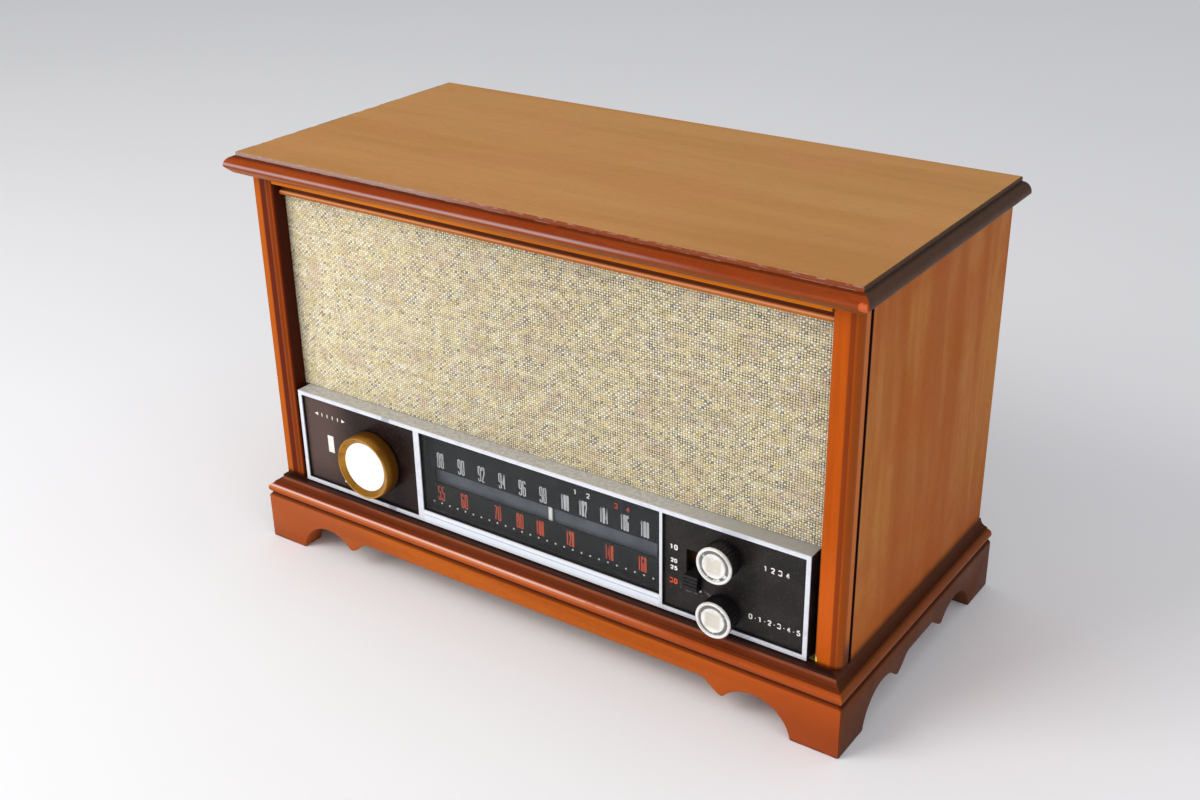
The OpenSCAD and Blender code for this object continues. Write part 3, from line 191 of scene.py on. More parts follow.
class Tree:
    """A material's nodes, made through one method."""

    def __init__(self, node_tree: bpy.types.NodeTree) -> None:
        """Wraps an empty node tree."""
        self.made = node_tree

    def node(self, kind: str, settings: dict | None = None, sockets: dict | None = None,
             output: int | str = 0) -> Wire:
        """Makes a node.

        Args:
            kind: The node's type.
            settings: What is set on the node itself, first, such as its operation. Its "stops" are the
                stops of a ramp.
            sockets: Values or wires by a socket's number, identifier or name.
            output: The output that the expression goes on with.

        Returns:
            The wire from that output.
        """
        made = self.made.nodes.new(kind)
        for name, value in (settings or {}).items():
            if name == "stops":
                self._set_stops(made.color_ramp, value)
            else:
                setattr(made, name, value)
        for key, value in (sockets or {}).items():
            self._feed(self._socket(made.inputs, key), value)
        return Wire(self, self._socket(made.outputs, output))

    @staticmethod
    def _set_stops(ramp: bpy.types.ColorRamp, stops: Sequence[tuple[float, Colour]]) -> None:
        """Gives a ramp its stops, which run from low to high.

        Args:
            ramp: The ramp.
            stops: The stops' places and colours.
        """
        while len(ramp.elements) < len(stops):
            ramp.elements.new(1.0)
        for element, (place, colour) in zip(ramp.elements, stops):
            element.position = place
            element.color = colour

    @staticmethod
    def _socket(sockets: Iterable[bpy.types.NodeSocket], key: int | str) -> bpy.types.NodeSocket:
        """Finds a socket by its number, its identifier or its name.

        Args:
            sockets: A node's inputs or outputs.
            key: The number, identifier or name.

        Returns:
            The socket.
        """
        found = list(sockets)
        if isinstance(key, int):
            return found[key]
        fitting = [s for s in found if s.identifier == key] + [s for s in found if s.name == key]
        return fitting[0]

    def _feed(self, socket: bpy.types.NodeSocket, value: Operand) -> None:
        """Links a wire to a socket, or sets the socket's value.

        Args:
            socket: The socket.
            value: The wire or value.
        """
        if isinstance(value, Wire):
            self.made.links.new(value.socket, socket)
        elif socket.type == "VALUE":
            socket.default_value = value
        else:
            width = len(socket.default_value)
            parts = tuple(value) if isinstance(value, (tuple, list)) else (value,) * 3
            socket.default_value = (parts + (1.0,))[:width]

    @staticmethod
    def _kinds(values: Iterable[Operand]) -> set[str]:
        """The kinds of socket among some values: VALUE, VECTOR or RGBA."""
        lengths = {3: "VECTOR", 4: "RGBA"}
        return {v.socket.type if isinstance(v, Wire) else lengths.get(len(v), "RGBA") if isinstance(v, tuple)
                else "VALUE" for v in values}

    def combine(self, operation: str, first: Operand, second: Operand) -> Wire:
        """Adds the node of an operation on two values, by what they are.

        Args:
            operation: ADD, SUBTRACT, MULTIPLY or DIVIDE.
            first: The value before the operator.
            second: The value after the operator.

        Returns:
            The result: a colour if either value is one, else a vector if either is, else a number.
        """
        kinds = self._kinds((first, second))
        if "RGBA" in kinds:
            return self.node("ShaderNodeMix", {"data_type": "RGBA", "blend_type": operation},
                             {"Factor_Float": 1.0, "A_Color": first, "B_Color": second}, "Result_Color")
        if "VECTOR" in kinds:
            return self.node("ShaderNodeVectorMath", {"operation": operation}, {0: first, 1: second})
        return self.math(operation, first, second)

    def math(self, operation: str, *values: Operand) -> Wire:
        """A Math node on numbers."""
        return self.node("ShaderNodeMath", {"operation": operation}, dict(enumerate(values)))

    def mix(self, share: Operand, first: Operand, second: Operand) -> Wire:
        """A blend of two numbers or two colours by a share from 0 to 1.

        Args:
            share: The second one's share.
            first: The first.
            second: The second.

        Returns:
            The blend.
        """
        if "RGBA" in self._kinds((first, second)):
            return self.node("ShaderNodeMix", {"data_type": "RGBA"},
                             {"Factor_Float": share, "A_Color": first, "B_Color": second}, "Result_Color")
        return self.node("ShaderNodeMix", {"data_type": "FLOAT"},
                         {"Factor_Float": share, "A_Float": first, "B_Float": second}, "Result_Float")

    def place(self) -> Wire:
        """The point on the radio, in metres at rest."""
        return self.node("ShaderNodeTexCoord", output="Object")

    def noise(self, place: Wire, size: float | Point, detail: float = 2.0, roughness: float = 0.5,
              distortion: float = 0.0) -> Wire:
        """Cloudy noise from 0 to 1.

        Args:
            place: Where it is read.
            size: Length of a cloud, or its lengths along X, Y and Z.
            detail: How many finer layers it has.
            roughness: How strong the finer layers are.
            distortion: How much it is twisted.

        Returns:
            The noise, which is 0.5 on average.
        """
        lengths = size if isinstance(size, tuple) else (size,) * 3
        return self.node("ShaderNodeTexNoise", None, {
            "Vector": place * tuple(1 / length for length in lengths), "Scale": 1.0, "Detail": detail,
            "Roughness": roughness, "Distortion": distortion})

    def dice(self, place: Wire) -> Wire:
        """An even random number from 0 to 1 for each place."""
        return self.node("ShaderNodeTexWhiteNoise", {"noise_dimensions": "3D"}, {"Vector": place})

    def vector(self, x: Operand, y: Operand, z: Operand) -> Wire:
        """A vector of three numbers."""
        return self.node("ShaderNodeCombineXYZ", None, {0: x, 1: y, 2: z})

    def ramp(self, value: Wire, *stops: tuple[float, Colour]) -> Wire:
        """A colour ramp."""
        return self.node("ShaderNodeValToRGB", {"stops": stops}, {0: value})

    def bump(self, height: Wire, depth: float, strength: float = 1.0) -> Wire:
        """A bumped normal; depth is what a height of 1 stands for, in metres."""
        return self.node("ShaderNodeBump", None, {"Height": height, "Distance": depth, "Strength": strength})

    def principled(self, **sockets: Operand) -> Wire:
        """The main shader; a socket's name has underscores for spaces."""
        named = {name.replace("_", " "): value for name, value in sockets.items()}
        return self.node("ShaderNodeBsdfPrincipled", None, named)

    def output(self, shader: Wire, kind: str = "ShaderNodeOutputMaterial") -> None:
        """Ends the tree with this shader."""
        end = self.made.nodes.new(kind)
        self.made.links.new(shader.socket, end.inputs["Surface"])


@dataclass(frozen=True)
class Zone:
    """A coloured box of the radio with soft sides, for stains, worn lines, dust, painted highlights and
    painted shade.

    Attributes:
        colour: What it turns the surface to.
        x: Its reach along X, or None where it has no end.
        y: Its reach along Y.
        z: Its reach along Z.
        soft: Half the width of its soft sides, or its three values along X, Y and Z.
        strength: How much of the surface's own colour it takes.
        broken: How much of it noise takes away, from 0 to 1.
        grain: The length of a break, or its lengths along X, Y and Z.
        gloss: What it adds to the roughness.
    """

    colour: Colour
    x: Flat | None = None
    y: Flat | None = None
    z: Flat | None = None
    soft: float | Point = 0.3 * MM
    strength: float = 1.0
    broken: float = 0.0
    grain: float | Point = 8 * MM
    gloss: float = 0.0

    def mask(self, tree: Tree, place: Wire) -> Wire:
        """How much the zone covers each point.

        Args:
            tree: The material's nodes.
            place: The point on the radio.

        Returns:
            The cover, from 0 to 1.
        """
        softness = self.soft if isinstance(self.soft, tuple) else (self.soft,) * 3
        cover = None
        for axis, reach, soft in zip(Axis, (self.x, self.y, self.z), softness):
            if reach is None:
                continue
            along = place.part(axis)
            low, high = reach
            inside = along.rise(low - soft, low + soft) * along.rise(high + soft, high - soft)
            cover = inside if cover is None else cover * inside
        if self.broken:
            edge = 0.3 + 0.4 * self.broken
            cover = cover * tree.noise(place, self.grain, 4.0, 0.65).rise(edge - 0.03, edge + 0.05)
        return cover * self.strength


@dataclass(frozen=True)
class Flank:
    """The side runs of a mitred moulding.

    Attributes:
        colour: What it turns the surface to.
        corner: The moulding's right front corner in X and Y.
        depth: How far the moulding reaches in from its outer face.
        strength: How much of the surface's own colour it takes.
        gloss: What it adds to the roughness.
        z: Its reach along Z, or None for the whole height.
    """

    colour: Colour
    corner: Flat
    depth: float = 7 * MM
    strength: float = 1.0
    gloss: float = 0.1
    z: Flat | None = None

    def mask(self, tree: Tree, place: Wire) -> Wire:
        """How much the flank covers each point.

        Args:
            tree: The material's nodes.
            place: The point on the radio.

        Returns:
            The cover, from 0 to 1.
        """
        aside = self.corner[0] - place.part(Axis.X).size()
        behind = place.part(Axis.Y) - self.corner[1]
        cloud = 0.8 + 0.2 * tree.noise(place, 9 * MM, 3.0)
        past = (behind - aside).rise(-0.4 * MM, 0.8 * MM)
        cover = past * aside.rise(self.depth + 0.3 * MM, self.depth - 0.3 * MM) * cloud * self.strength
        if self.z is None:
            return cover
        up = place.part(Axis.Z)
        low, high = self.z
        soft = 0.5 * MM
        return cover * up.rise(low - soft, low + soft) * up.rise(high + soft, high - soft)


@dataclass(frozen=True)
class Spot:
    """A small mark round one point, with a ragged edge: knocks, flecks and a painted glint."""

    middle: Point
    reach: float
    colour: Colour
    strength: float = 1.0
    gloss: float = 0.0

    def mask(self, tree: Tree, place: Wire) -> Wire:
        """How much the spot covers each point.

        Args:
            tree: The material's nodes.
            place: The point on the radio.

        Returns:
            The cover, from 0 to 1.
        """
        away = tree.node("ShaderNodeVectorMath", {"operation": "DISTANCE"},
                         {0: place, 1: self.middle}, output="Value")
        ragged = away + (tree.noise(place, self.reach * 0.6, 3.0) - 0.5) * self.reach
        return ragged.rise(self.reach, self.reach * 0.7) * self.strength


Mark = Union[Zone, Flank, Spot]


def marked(tree: Tree, place: Wire, colour: Wire, rough: Wire, marks: Sequence[Mark]) -> tuple[Wire, Wire]:
    """Lays marks over a finish.

    Args:
        tree: The material's nodes.
        place: The point on the radio.
        colour: The finish's colour.
        rough: The finish's roughness.
        marks: Zones, flanks and spots, the last on top.

    Returns:
        The colour and the roughness with the marks.
    """
    for mark in marks:
        mask = mark.mask(tree, place)
        colour = mask.mix(colour, mark.colour)
        rough = rough + mask * mark.gloss
    return colour, rough


@dataclass(frozen=True)
class Finish:
    """A finish, which makes its material once and keeps it under its name."""

    name: str

    def material(self) -> bpy.types.Material:
        """The material of this finish.

        Returns:
            The material, which the first call makes.
        """
        label = f"dressed_{self.name}"
        known = bpy.data.materials.get(label)
        if known:
            return known
        made = bpy.data.materials.new(label)
        made.use_nodes = True
        made.node_tree.nodes.clear()
        self.dress(Tree(made.node_tree))
        return made

    def dress(self, tree: Tree) -> None:
        """Fills the material's nodes."""
        raise NotImplementedError


@dataclass(frozen=True)
class WoodFinish(Finish):
    """Stained and lacquered wood.

    Attributes:
        grain: The direction of the fibres.
        light: Colour of the pale figure.
        dark: Colour of the dark figure.
        warm: Colour that the stain drifts to in clouds.
        pore: Colour of the open pores.
        figure: Width of the figure across the grain.
        mottle: Strength of the clouds.
        fibre: Strength of the fine fibres.
        pores: Strength of the pores.
        rough: Roughness of the stain.
        shine: Level of its reflections.
        coat: Weight of the lacquer.
        marks: Wear, dirt, painted highlights and painted shade over the finish.
    """

    grain: Axis = Axis.X
    light: Colour = srgb(188, 110, 58)
    dark: Colour = srgb(150, 78, 36)
    warm: Colour = srgb(170, 84, 32)
    pore: Colour = srgb(70, 34, 18)
    figure: float = 12 * MM
    mottle: float = 0.45
    fibre: float = 0.35
    pores: float = 0.35
    rough: float = 0.42
    shine: float = 0.05
    coat: float = 0.0
    marks: tuple[Mark, ...] = ()

    def _stretched(self, length: float, width: float) -> Point:
        """A noise's size, long along the grain and narrow across it."""
        return tuple(length if axis is self.grain else width for axis in Axis)

    def dress(self, tree: Tree) -> None:
        """Figure, clouds, fibres and pores under a lacquer with fine orange peel.

        Args:
            tree: The material's nodes.
        """
        place = tree.place()
        wave = tree.noise(place, 70 * MM, 2.0) - 0.5
        bent = place + wave * (4 * MM)
        figure = tree.noise(bent, self._stretched(260 * MM, self.figure), 5.0, 0.58, 0.4)
        cloud = tree.noise(place, 42 * MM, 4.0, 0.55)
        fibre = tree.noise(bent, self._stretched(38 * MM, 0.7 * MM), 3.0, 0.6)
        pore = tree.noise(bent, self._stretched(5 * MM, 0.32 * MM), 1.0).rise(0.60, 0.70)
        fleck = tree.noise(place, 1.1 * MM, 2.0)
        colour = figure.rise(0.36, 0.64).mix(self.dark, self.light)
        colour = (cloud.rise(0.42, 0.66) * self.mottle).mix(colour, self.warm)
        colour = (fibre.rise(0.45, 0.72) * self.fibre).mix(colour, self.dark)
        colour = (pore * self.pores).mix(colour, self.pore)
        colour = (fleck.rise(0.35, 0.75) * 0.16).mix(colour, self.light)
        smear = tree.noise(place, 25 * MM, 3.0).rise(0.3, 0.75)
        rough = self.rough + smear * 0.12 + pore * 0.1
        colour, rough = marked(tree, place, colour, rough, self.marks)
        peel = tree.noise(place, 2.2 * MM, 2.0)
        height = fibre * 0.35 + peel * 0.5 - pore * 0.5
        tree.output(tree.principled(
            Base_Color=colour, Roughness=rough, Specular_IOR_Level=self.shine,
            Normal=tree.bump(height, 0.06 * MM, 0.6), Coat_Weight=self.coat, Coat_Roughness=0.14))


@dataclass(frozen=True)
class WeaveFinish(Finish):
    """Plain-woven grille cloth: pale slubbed weft over a mixed, darker warp.

    Attributes:
        pitch: Distance between threads along X and Z, as in the cloth's mesh.
        slub: Length of a thick stretch of a thread.
        gap: Colour deep between the threads.
    """

    pitch: Flat = (1.5 * MM, 1.3 * MM)
    slub: float = 9 * MM
    gap: Colour = srgb(42, 46, 56)

    def dress(self, tree: Tree) -> None:
        """Each crossing shows the thread on top, in its yarn's colour, over dark gaps.

        Args:
            tree: The material's nodes.
        """
        place = tree.place()
        along, up = place.part(Axis.X), place.part(Axis.Z)
        across, high = along / self.pitch[0], up / self.pitch[1]
        column, row = tree.math("FLOOR", across), tree.math("FLOOR", high)
        weft_up = tree.math("MODULO", column + row + 2000.0, 2.0).rise(0.4, 0.6)
        aside, above = (across - column - 0.5).size(), (high - row - 0.5).size()
        crossing = tree.dice(tree.vector(column + 0.5, 3.5, row + 0.5))
        weft_yarn = tree.noise(tree.vector(along / self.slub, 4.0, row * 5.1), 1.0, 3.0, 0.7)
        warp_yarn = tree.noise(tree.vector(column * 7.3, 0.0, up / self.slub), 1.0, 3.0, 0.7)
        weft = tree.ramp(
            weft_yarn * 0.6 + crossing * 0.4, (0.24, srgb(190, 176, 138)), (0.4, srgb(224, 210, 170)),
            (0.52, srgb(244, 236, 208)), (0.7, srgb(254, 252, 240)))
        warp = tree.ramp(
            warp_yarn * 0.55 + crossing * 0.45, (0.22, srgb(108, 106, 110)), (0.36, srgb(154, 144, 120)),
            (0.48, srgb(202, 186, 134)), (0.6, srgb(216, 204, 164)), (0.78, srgb(232, 224, 194)))
        colour = weft_up.mix(warp, weft)
        hue = tree.dice(tree.vector(column + 0.5, 8.5, row + 0.5))
        colour = (hue.rise(0.62, 0.76) * 0.42).mix(colour, srgb(242, 224, 160))
        colour = (hue.rise(0.2, 0.08) * 0.45).mix(colour, srgb(200, 180, 170))
        pink = tree.noise(place, 15 * MM, 2.0)
        straw = tree.noise(place, (22 * MM, 1.0, 9 * MM), 3.0)
        colour = (pink.rise(0.5, 0.7) * 0.4).mix(colour, srgb(204, 172, 152))
        colour = (straw.rise(0.5, 0.7) * 0.4).mix(colour, srgb(212, 194, 134))
        band = tree.noise(tree.vector(along / (70 * MM), 2.0, row * 0.31), 1.0, 3.0, 0.6)
        colour = (band.rise(0.56, 0.68) * 0.35).mix(colour, srgb(236, 226, 196))
        colour = (band.rise(0.44, 0.34) * 0.35).mix(colour, srgb(176, 166, 154))
        long_slub = tree.noise(tree.vector(along / (30 * MM), 9.0, row * 3.7), 1.0, 1.0).rise(0.66, 0.74)
        colour = (long_slub * weft_up * 0.8).mix(colour, srgb(240, 238, 228))
        ragged = (crossing - 0.5) * 0.2 + (tree.noise(place, 0.7 * MM, 2.0) - 0.5) * 0.5
        deep = tree.math("MAXIMUM", aside * (1.25 - 0.35 * weft_up), above * (0.9 + 0.35 * weft_up)) + ragged
        corner = (aside + above + ragged).rise(0.44, 0.76)
        patchy = 0.58 + 0.42 * tree.noise(place, (7 * MM, 1.0, 4 * MM), 3.0).rise(0.35, 0.65)
        contrast = 0.5 + 0.5 * along.rise(-170 * MM, 30 * MM)
        dark = tree.math("MAXIMUM", deep.rise(0.28, 0.5) * 0.82, corner) * patchy * contrast
        colour = dark.mix(colour, self.gap)
        strand = tree.noise(place, 0.45 * MM, 2.0)
        colour = (strand.rise(0.4, 0.7) * 0.16).mix(colour, srgb(158, 142, 112))
        tree.output(tree.principled(
            Base_Color=colour, Roughness=0.85, Specular_IOR_Level=0.3,
            Normal=tree.bump(strand, 0.1 * MM, 0.6)))


@dataclass(frozen=True)
class PlasticFinish(Finish):
    """Moulded plastic, lacquer or printed ink.

    Attributes:
        colour: Its own colour.
        faded: Colour that it drifts to.
        rough: Roughness.
        texture: Size of its moulded grain.
        relief: Depth of that grain.
        dust: How much pale dust lies on it.
        shine: Level of its reflections.
        coat: Weight of a clear gloss.
        marks: Wear, painted sheen and a painted glint over the finish.
    """

    colour: Colour = srgb(28, 26, 26)
    faded: Colour = srgb(46, 42, 40)
    rough: float = 0.4
    texture: float = 0.6 * MM
    relief: float = 0.02 * MM
    dust: float = 0.15
    shine: float = 0.3
    coat: float = 0.0
    marks: tuple[Mark, ...] = ()

    def dress(self, tree: Tree) -> None:
        """Clouded colour, fine grain, smears in the gloss and specks of dust.

        Args:
            tree: The material's nodes.
        """
        place = tree.place()
        cloud = tree.noise(place, 14 * MM, 4.0, 0.6)
        grain = tree.noise(place, self.texture, 2.0)
        colour = cloud.rise(0.38, 0.7).mix(self.colour, self.faded)
        speck = tree.noise(place, 0.5 * MM, 1.0).rise(0.7, 0.78)
        colour = (speck * self.dust).mix(colour, srgb(170, 164, 156))
        smear = tree.noise(place, (16 * MM, 16 * MM, 7 * MM), 3.0)
        rough = self.rough + smear.rise(0.4, 0.75) * 0.14 + speck * 0.2
        colour, rough = marked(tree, place, colour, rough, self.marks)
        tree.output(tree.principled(
            Base_Color=colour, Roughness=rough, Specular_IOR_Level=self.shine, Coat_Weight=self.coat,
            Coat_Roughness=0.05, Normal=tree.bump(grain, self.relief, 0.7)))


class Lay(Enum):
    """How a metal surface was worked."""

    SPUN = "spun"
    DRAWN = "drawn"
    CAST = "cast"


@dataclass(frozen=True)
class MetalFinish(Finish):
    """Bare or plated metal.

    Attributes:
        colour: Its own colour.
        stain: Colour of its tarnish.
        rough: Roughness.
        lay: Spun in rings about a middle, drawn along an axis, or cast.
        middle: Place of the rings' axis in X and Z.
        along: The direction of drawn lines.
        tarnish: How much of it is tarnished.
        relief: Depth of its lines.
        shine: How metallic it is.
        marks: Wear, painted reflections and painted shade over the finish.
    """

    colour: Colour = srgb(196, 198, 200)
    stain: Colour = srgb(120, 112, 100)
    rough: float = 0.28
    lay: Lay = Lay.CAST
    middle: Flat = (0.0, 0.0)
    along: Axis = Axis.X
    tarnish: float = 0.2
    relief: float = 0.01 * MM
    shine: float = 1.0
    marks: tuple[Mark, ...] = ()

    def _lines(self, tree: Tree, place: Wire) -> Wire:
        """The fine lines of the surface.

        Args:
            tree: The material's nodes.
            place: The point on the radio.

        Returns:
            Their height, from 0 to 1.
        """
        if self.lay is Lay.SPUN:
            right = place.part(Axis.X) - self.middle[0]
            up = place.part(Axis.Z) - self.middle[1]
            out = (right * right + up * up) ** 0.5
            return tree.noise(tree.vector(out / (0.22 * MM), 0.0, place.part(Axis.Y) / MM), 1.0, 2.0)
        if self.lay is Lay.DRAWN:
            size = tuple(45 * MM if axis is self.along else 0.25 * MM for axis in Axis)
            return tree.noise(place, size, 2.0)
        return tree.noise(place, 0.8 * MM, 3.0)

    def dress(self, tree: Tree) -> None:
        """Lines of its working, tarnish in clouds and a little dirt.

        Args:
            tree: The material's nodes.
        """
        place = tree.place()
        lines = self._lines(tree, place)
        cloud = tree.noise(place, 7 * MM, 4.0, 0.65)
        fine = tree.noise(place, 1.3 * MM, 3.0)
        spoiled = (cloud.rise(0.45, 0.72) * 0.7 + fine.rise(0.6, 0.8) * 0.4) * self.tarnish
        colour = spoiled.mix(self.colour, self.stain)
        colour = (lines.rise(0.3, 0.7) * 0.12).mix(colour, self.stain)
        rough = self.rough + spoiled * 0.3 + lines * 0.08
        colour, rough = marked(tree, place, colour, rough, self.marks)
        tree.output(tree.principled(
            Base_Color=colour, Roughness=rough, Metallic=self.shine,
            Normal=tree.bump(lines, self.relief, 0.8)))


@dataclass(frozen=True)
class GlassFinish(Finish):
    """Clear or tinted glass that shows what is behind it.

    Attributes:
        tint: Colour of what light passes.
        body: How much of it is solid to the eye.
        rough: Roughness.
        dust: How much the dust on it shows.
        silver: A silvered zone, if it has one.
    """

    tint: Colour = srgb(246, 248, 248)
    body: float = 0.0
    rough: float = 0.04
    dust: float = 0.02
    silver: Zone | None = None

    def dress(self, tree: Tree) -> None:
        """A clear sheet with a gloss that grows at a glancing angle, and dust.

        Args:
            tree: The material's nodes.
        """
        place = tree.place()
        dust = tree.noise(place, 3 * MM, 4.0, 0.7).rise(0.5, 0.8) * self.dust
        outside = 1.0 - tree.node("ShaderNodeNewGeometry", output="Backfacing")
        fresnel = tree.node("ShaderNodeFresnel", None, {"IOR": 1.5}) * outside
        clear = tree.node("ShaderNodeBsdfTransparent", None, {"Color": self.tint})
        colour = dust.mix(srgb(205, 210, 212), srgb(190, 184, 170))
        rough = self.rough + dust * 0.5
        shown = fresnel * 0.7 + dust + self.body
        if self.silver:
            mirror = self.silver.mask(tree, place)
            colour = mirror.mix(colour, self.silver.colour)
            shown = shown + mirror
        gloss = tree.principled(Base_Color=colour, Roughness=rough, Specular_IOR_Level=0.8)
        share = tree.math("MINIMUM", shown, 1.0)
        tree.output(tree.node("ShaderNodeMixShader", None, {0: share, 1: clear, 2: gloss}))


@dataclass(frozen=True)
class FibreFinish(Finish):
    """Pressed board, card, paper or twisted cord.

    Attributes:
        colour: Its own colour.
        flecks: Colour of its long fibres.
        fibre: Length of a fibre.
        relief: Depth of its felt.
        marks: Wear over the finish.
    """

    colour: Colour = srgb(122, 92, 62)
    flecks: Colour = srgb(88, 62, 40)
    fibre: float = 3 * MM
    relief: float = 0.12 * MM
    marks: tuple[Mark, ...] = ()

    def dress(self, tree: Tree) -> None:
        """Crossing fibres and clouds over a matt, felted surface.

        Args:
            tree: The material's nodes.
        """
        place = tree.place()
        one = tree.noise(place, (self.fibre, self.fibre, self.fibre * 0.12), 3.0, 0.6, 0.8)
        other = tree.noise(place, (self.fibre * 0.12, self.fibre, self.fibre), 3.0, 0.6, 0.8)
        felt = tree.math("MAXIMUM", one, other)
        cloud = tree.noise(place, 30 * MM, 3.0)
        colour = felt.rise(0.5, 0.72).mix(self.colour, self.flecks)
        colour = (cloud.rise(0.4, 0.75) * 0.25).mix(colour, self.flecks)
        rough = 0.85 + felt * 0.1
        colour, rough = marked(tree, place, colour, rough, self.marks)
        tree.output(tree.principled(
            Base_Color=colour, Roughness=rough, Specular_IOR_Level=0.3,
            Normal=tree.bump(felt, self.relief, 0.8)))


def linked(name: str, data: bpy.types.ID) -> bpy.types.Object:
    """Puts a mesh, a lamp or a camera into the scene as an object.

    Args:
        name: The object's name.
        data: The mesh, lamp or camera.

    Returns:
        The object.
    """
    made = bpy.data.objects.new(name, data)
    bpy.context.scene.collection.objects.link(made)
    return made


def worked(name: str, mesh: bpy.types.Mesh, work: bmesh.types.BMesh, sharp: float) -> bpy.types.Object:
    """Makes a mesh an object once the work on it is done.

    Args:
        name: The object's name.
        mesh: The mesh.
        work: The edited copy of it, which is freed.
        sharp: Angle in degrees from which an edge stays sharp.

    Returns:
        The object, smooth between its sharp edges.
    """
    work.to_mesh(mesh)
    work.free()
    mesh.shade_smooth()
    mesh.set_sharp_from_angle(angle=math.radians(sharp))
    return linked(name, mesh)


@dataclass
class Shape:
    """Points and faces gathered for one mesh."""

    points: list[Point] = field(default_factory=list)
    faces: list[tuple[int, ...]] = field(default_factory=list)

    def add(self, points: Sequence[Point], faces: Iterable[tuple[int, ...]]) -> None:
        """Adds points, and faces that number them from 0.

        Args:
            points: The points.
            faces: The faces.
        """
        start = len(self.points)
        self.points.extend(points)
        self.faces.extend(tuple(start + i for i in face) for face in faces)

    def grid(self, rows: Sequence[Sequence[Point]], round_row: bool = False, round_all: bool = False) -> None:
        """Adds a sheet of quads over rows of points.

        Args:
            rows: Rows with as many points each.
            round_row: Whether each row closes on itself.
            round_all: Whether the last row joins the first.
        """
        count, width = len(rows), len(rows[0])
        faces = []
        for i in range(count if round_all else count - 1):
            for j in range(width if round_row else width - 1):
                a, b = i * width, ((i + 1) % count) * width
                k = (j + 1) % width
                faces.append((a + j, a + k, b + k, b + j))
        self.add([p for row in rows for p in row], faces)

    def slab(self, outline: Sequence[Flat], front: float, back: float) -> None:
        """Adds an outline in X and Z, between two places along Y.

        Args:
            outline: Its points.
            front: Place of the front.
            back: Place of the back.
        """
        count = len(outline)
        points = [(x, front, z) for x, z in outline] + [(x, back, z) for x, z in outline]
        sides = [(i, (i + 1) % count, count + (i + 1) % count, count + i) for i in range(count)]
        self.add(points, [tuple(range(count))[::-1], tuple(range(count, 2 * count)), *sides])

    def turned(self, profile: Sequence[Flat], middle: Flat, segments: int = 96) -> None:
        """Adds a form turned about an axis along Y.

        Args:
            profile: Its radius and place along Y, from the middle of the front to the middle of the back.
            middle: The axis's place in X and Z.
            segments: Facets round it.
        """
        x, z = middle
        angles = [2 * math.pi * k / segments for k in range(segments)]
        rings = [[(x + radius * math.cos(a), y, z + radius * math.sin(a)) for a in angles]
                 for radius, y in profile]
        self.grid(rings, round_row=True)

    def ribbon(self, line: Sequence[Flat], width: float, front: float, back: float,
               closed: bool = False) -> None:
        """Adds a flat stroke of even width along a line in X and Z.

        Args:
            line: The line's points.
            width: Width of the stroke.
            front: Place of its front along Y.
            back: Place of its back along Y.
            closed: Whether the line ends where it starts.
        """
        least = 1e-9
        count = len(line)
        left, right = [], []
        for i, (x, z) in enumerate(line):
            before = line[i - 1] if closed or i else line[i]
            after = line[(i + 1) % count] if closed or i < count - 1 else line[i]
            one = Vector((x - before[0], z - before[1]))
            two = Vector((after[0] - x, after[1] - z))
            one = one.normalized() if one.length > least else two.normalized()
            two = two.normalized() if two.length > least else one
            side = Vector((-(one.y + two.y), one.x + two.x)).normalized()
            reach = width / 2 / max(0.5, side.dot(Vector((-one.y, one.x))))
            left.append((x + side.x * reach, z + side.y * reach))
            right.append((x - side.x * reach, z - side.y * reach))
        rows = [[(p[0], y, p[1]) for p, y in ((a, front), (a, back), (b, back), (b, front))]
                for a, b in zip(left, right)]
        self.grid(rows, round_row=True, round_all=closed)
        if not closed:
            last = len(rows) - 1
            self.add(rows[0], [(0, 1, 2, 3)])
            self.add(rows[last], [(3, 2, 1, 0)])

    def piece(self, name: str, sharp: float = 32.0, merge: float = 1e-6) -> bpy.types.Object:
        """Makes the mesh an object.

        Args:
            name: The piece's name.
            sharp: Angle in degrees from which an edge stays sharp.
            merge: Distance under which points become one.

        Returns:
            The object, at the origin.
        """
        mesh = bpy.data.meshes.new(name)
        mesh.from_pydata(self.points, [], self.faces)
        work = bmesh.new()
        work.from_mesh(mesh)
        bmesh.ops.remove_doubles(work, verts=work.verts, dist=merge)
        bmesh.ops.dissolve_degenerate(work, edges=work.edges, dist=merge)
        bmesh.ops.recalc_face_normals(work, faces=work.faces)
        return worked(name, mesh, work, sharp)


def arc(middle: Flat, radius: float, start: float, end: float, steps: int) -> list[Flat]:
    """Points along an arc; angles are degrees, turning from the first axis to the second."""
    angles = (math.radians(start + (end - start) * i / steps) for i in range(steps + 1))
    return [(middle[0] + radius * math.cos(a), middle[1] + radius * math.sin(a)) for a in angles]


def eased_line(line: Sequence[Flat], radius: float, closed: bool, steps: int = 4) -> list[Flat]:
    """Rounds the corners of a line.

    Args:
        line: Its corners.
        radius: How far from a corner the round starts.
        closed: Whether it ends where it starts.
        steps: Points of a round.

    Returns:
        The line with round corners.
    """
    out: list[Flat] = []
    count = len(line)
    for i, corner in enumerate(line):
        here = Vector(corner)
        if not closed and i in (0, count - 1):
            out.append(corner)
            continue
        before, after = Vector(line[i - 1]) - here, Vector(line[(i + 1) % count]) - here
        first = here + before.normalized() * min(radius, before.length / 2)
        last = here + after.normalized() * min(radius, after.length / 2)
        for k in range(steps + 1):
            t = k / steps
            spot = first * (1 - t) ** 2 + here * 2 * t * (1 - t) + last * t ** 2
            out.append((spot.x, spot.y))
    return out


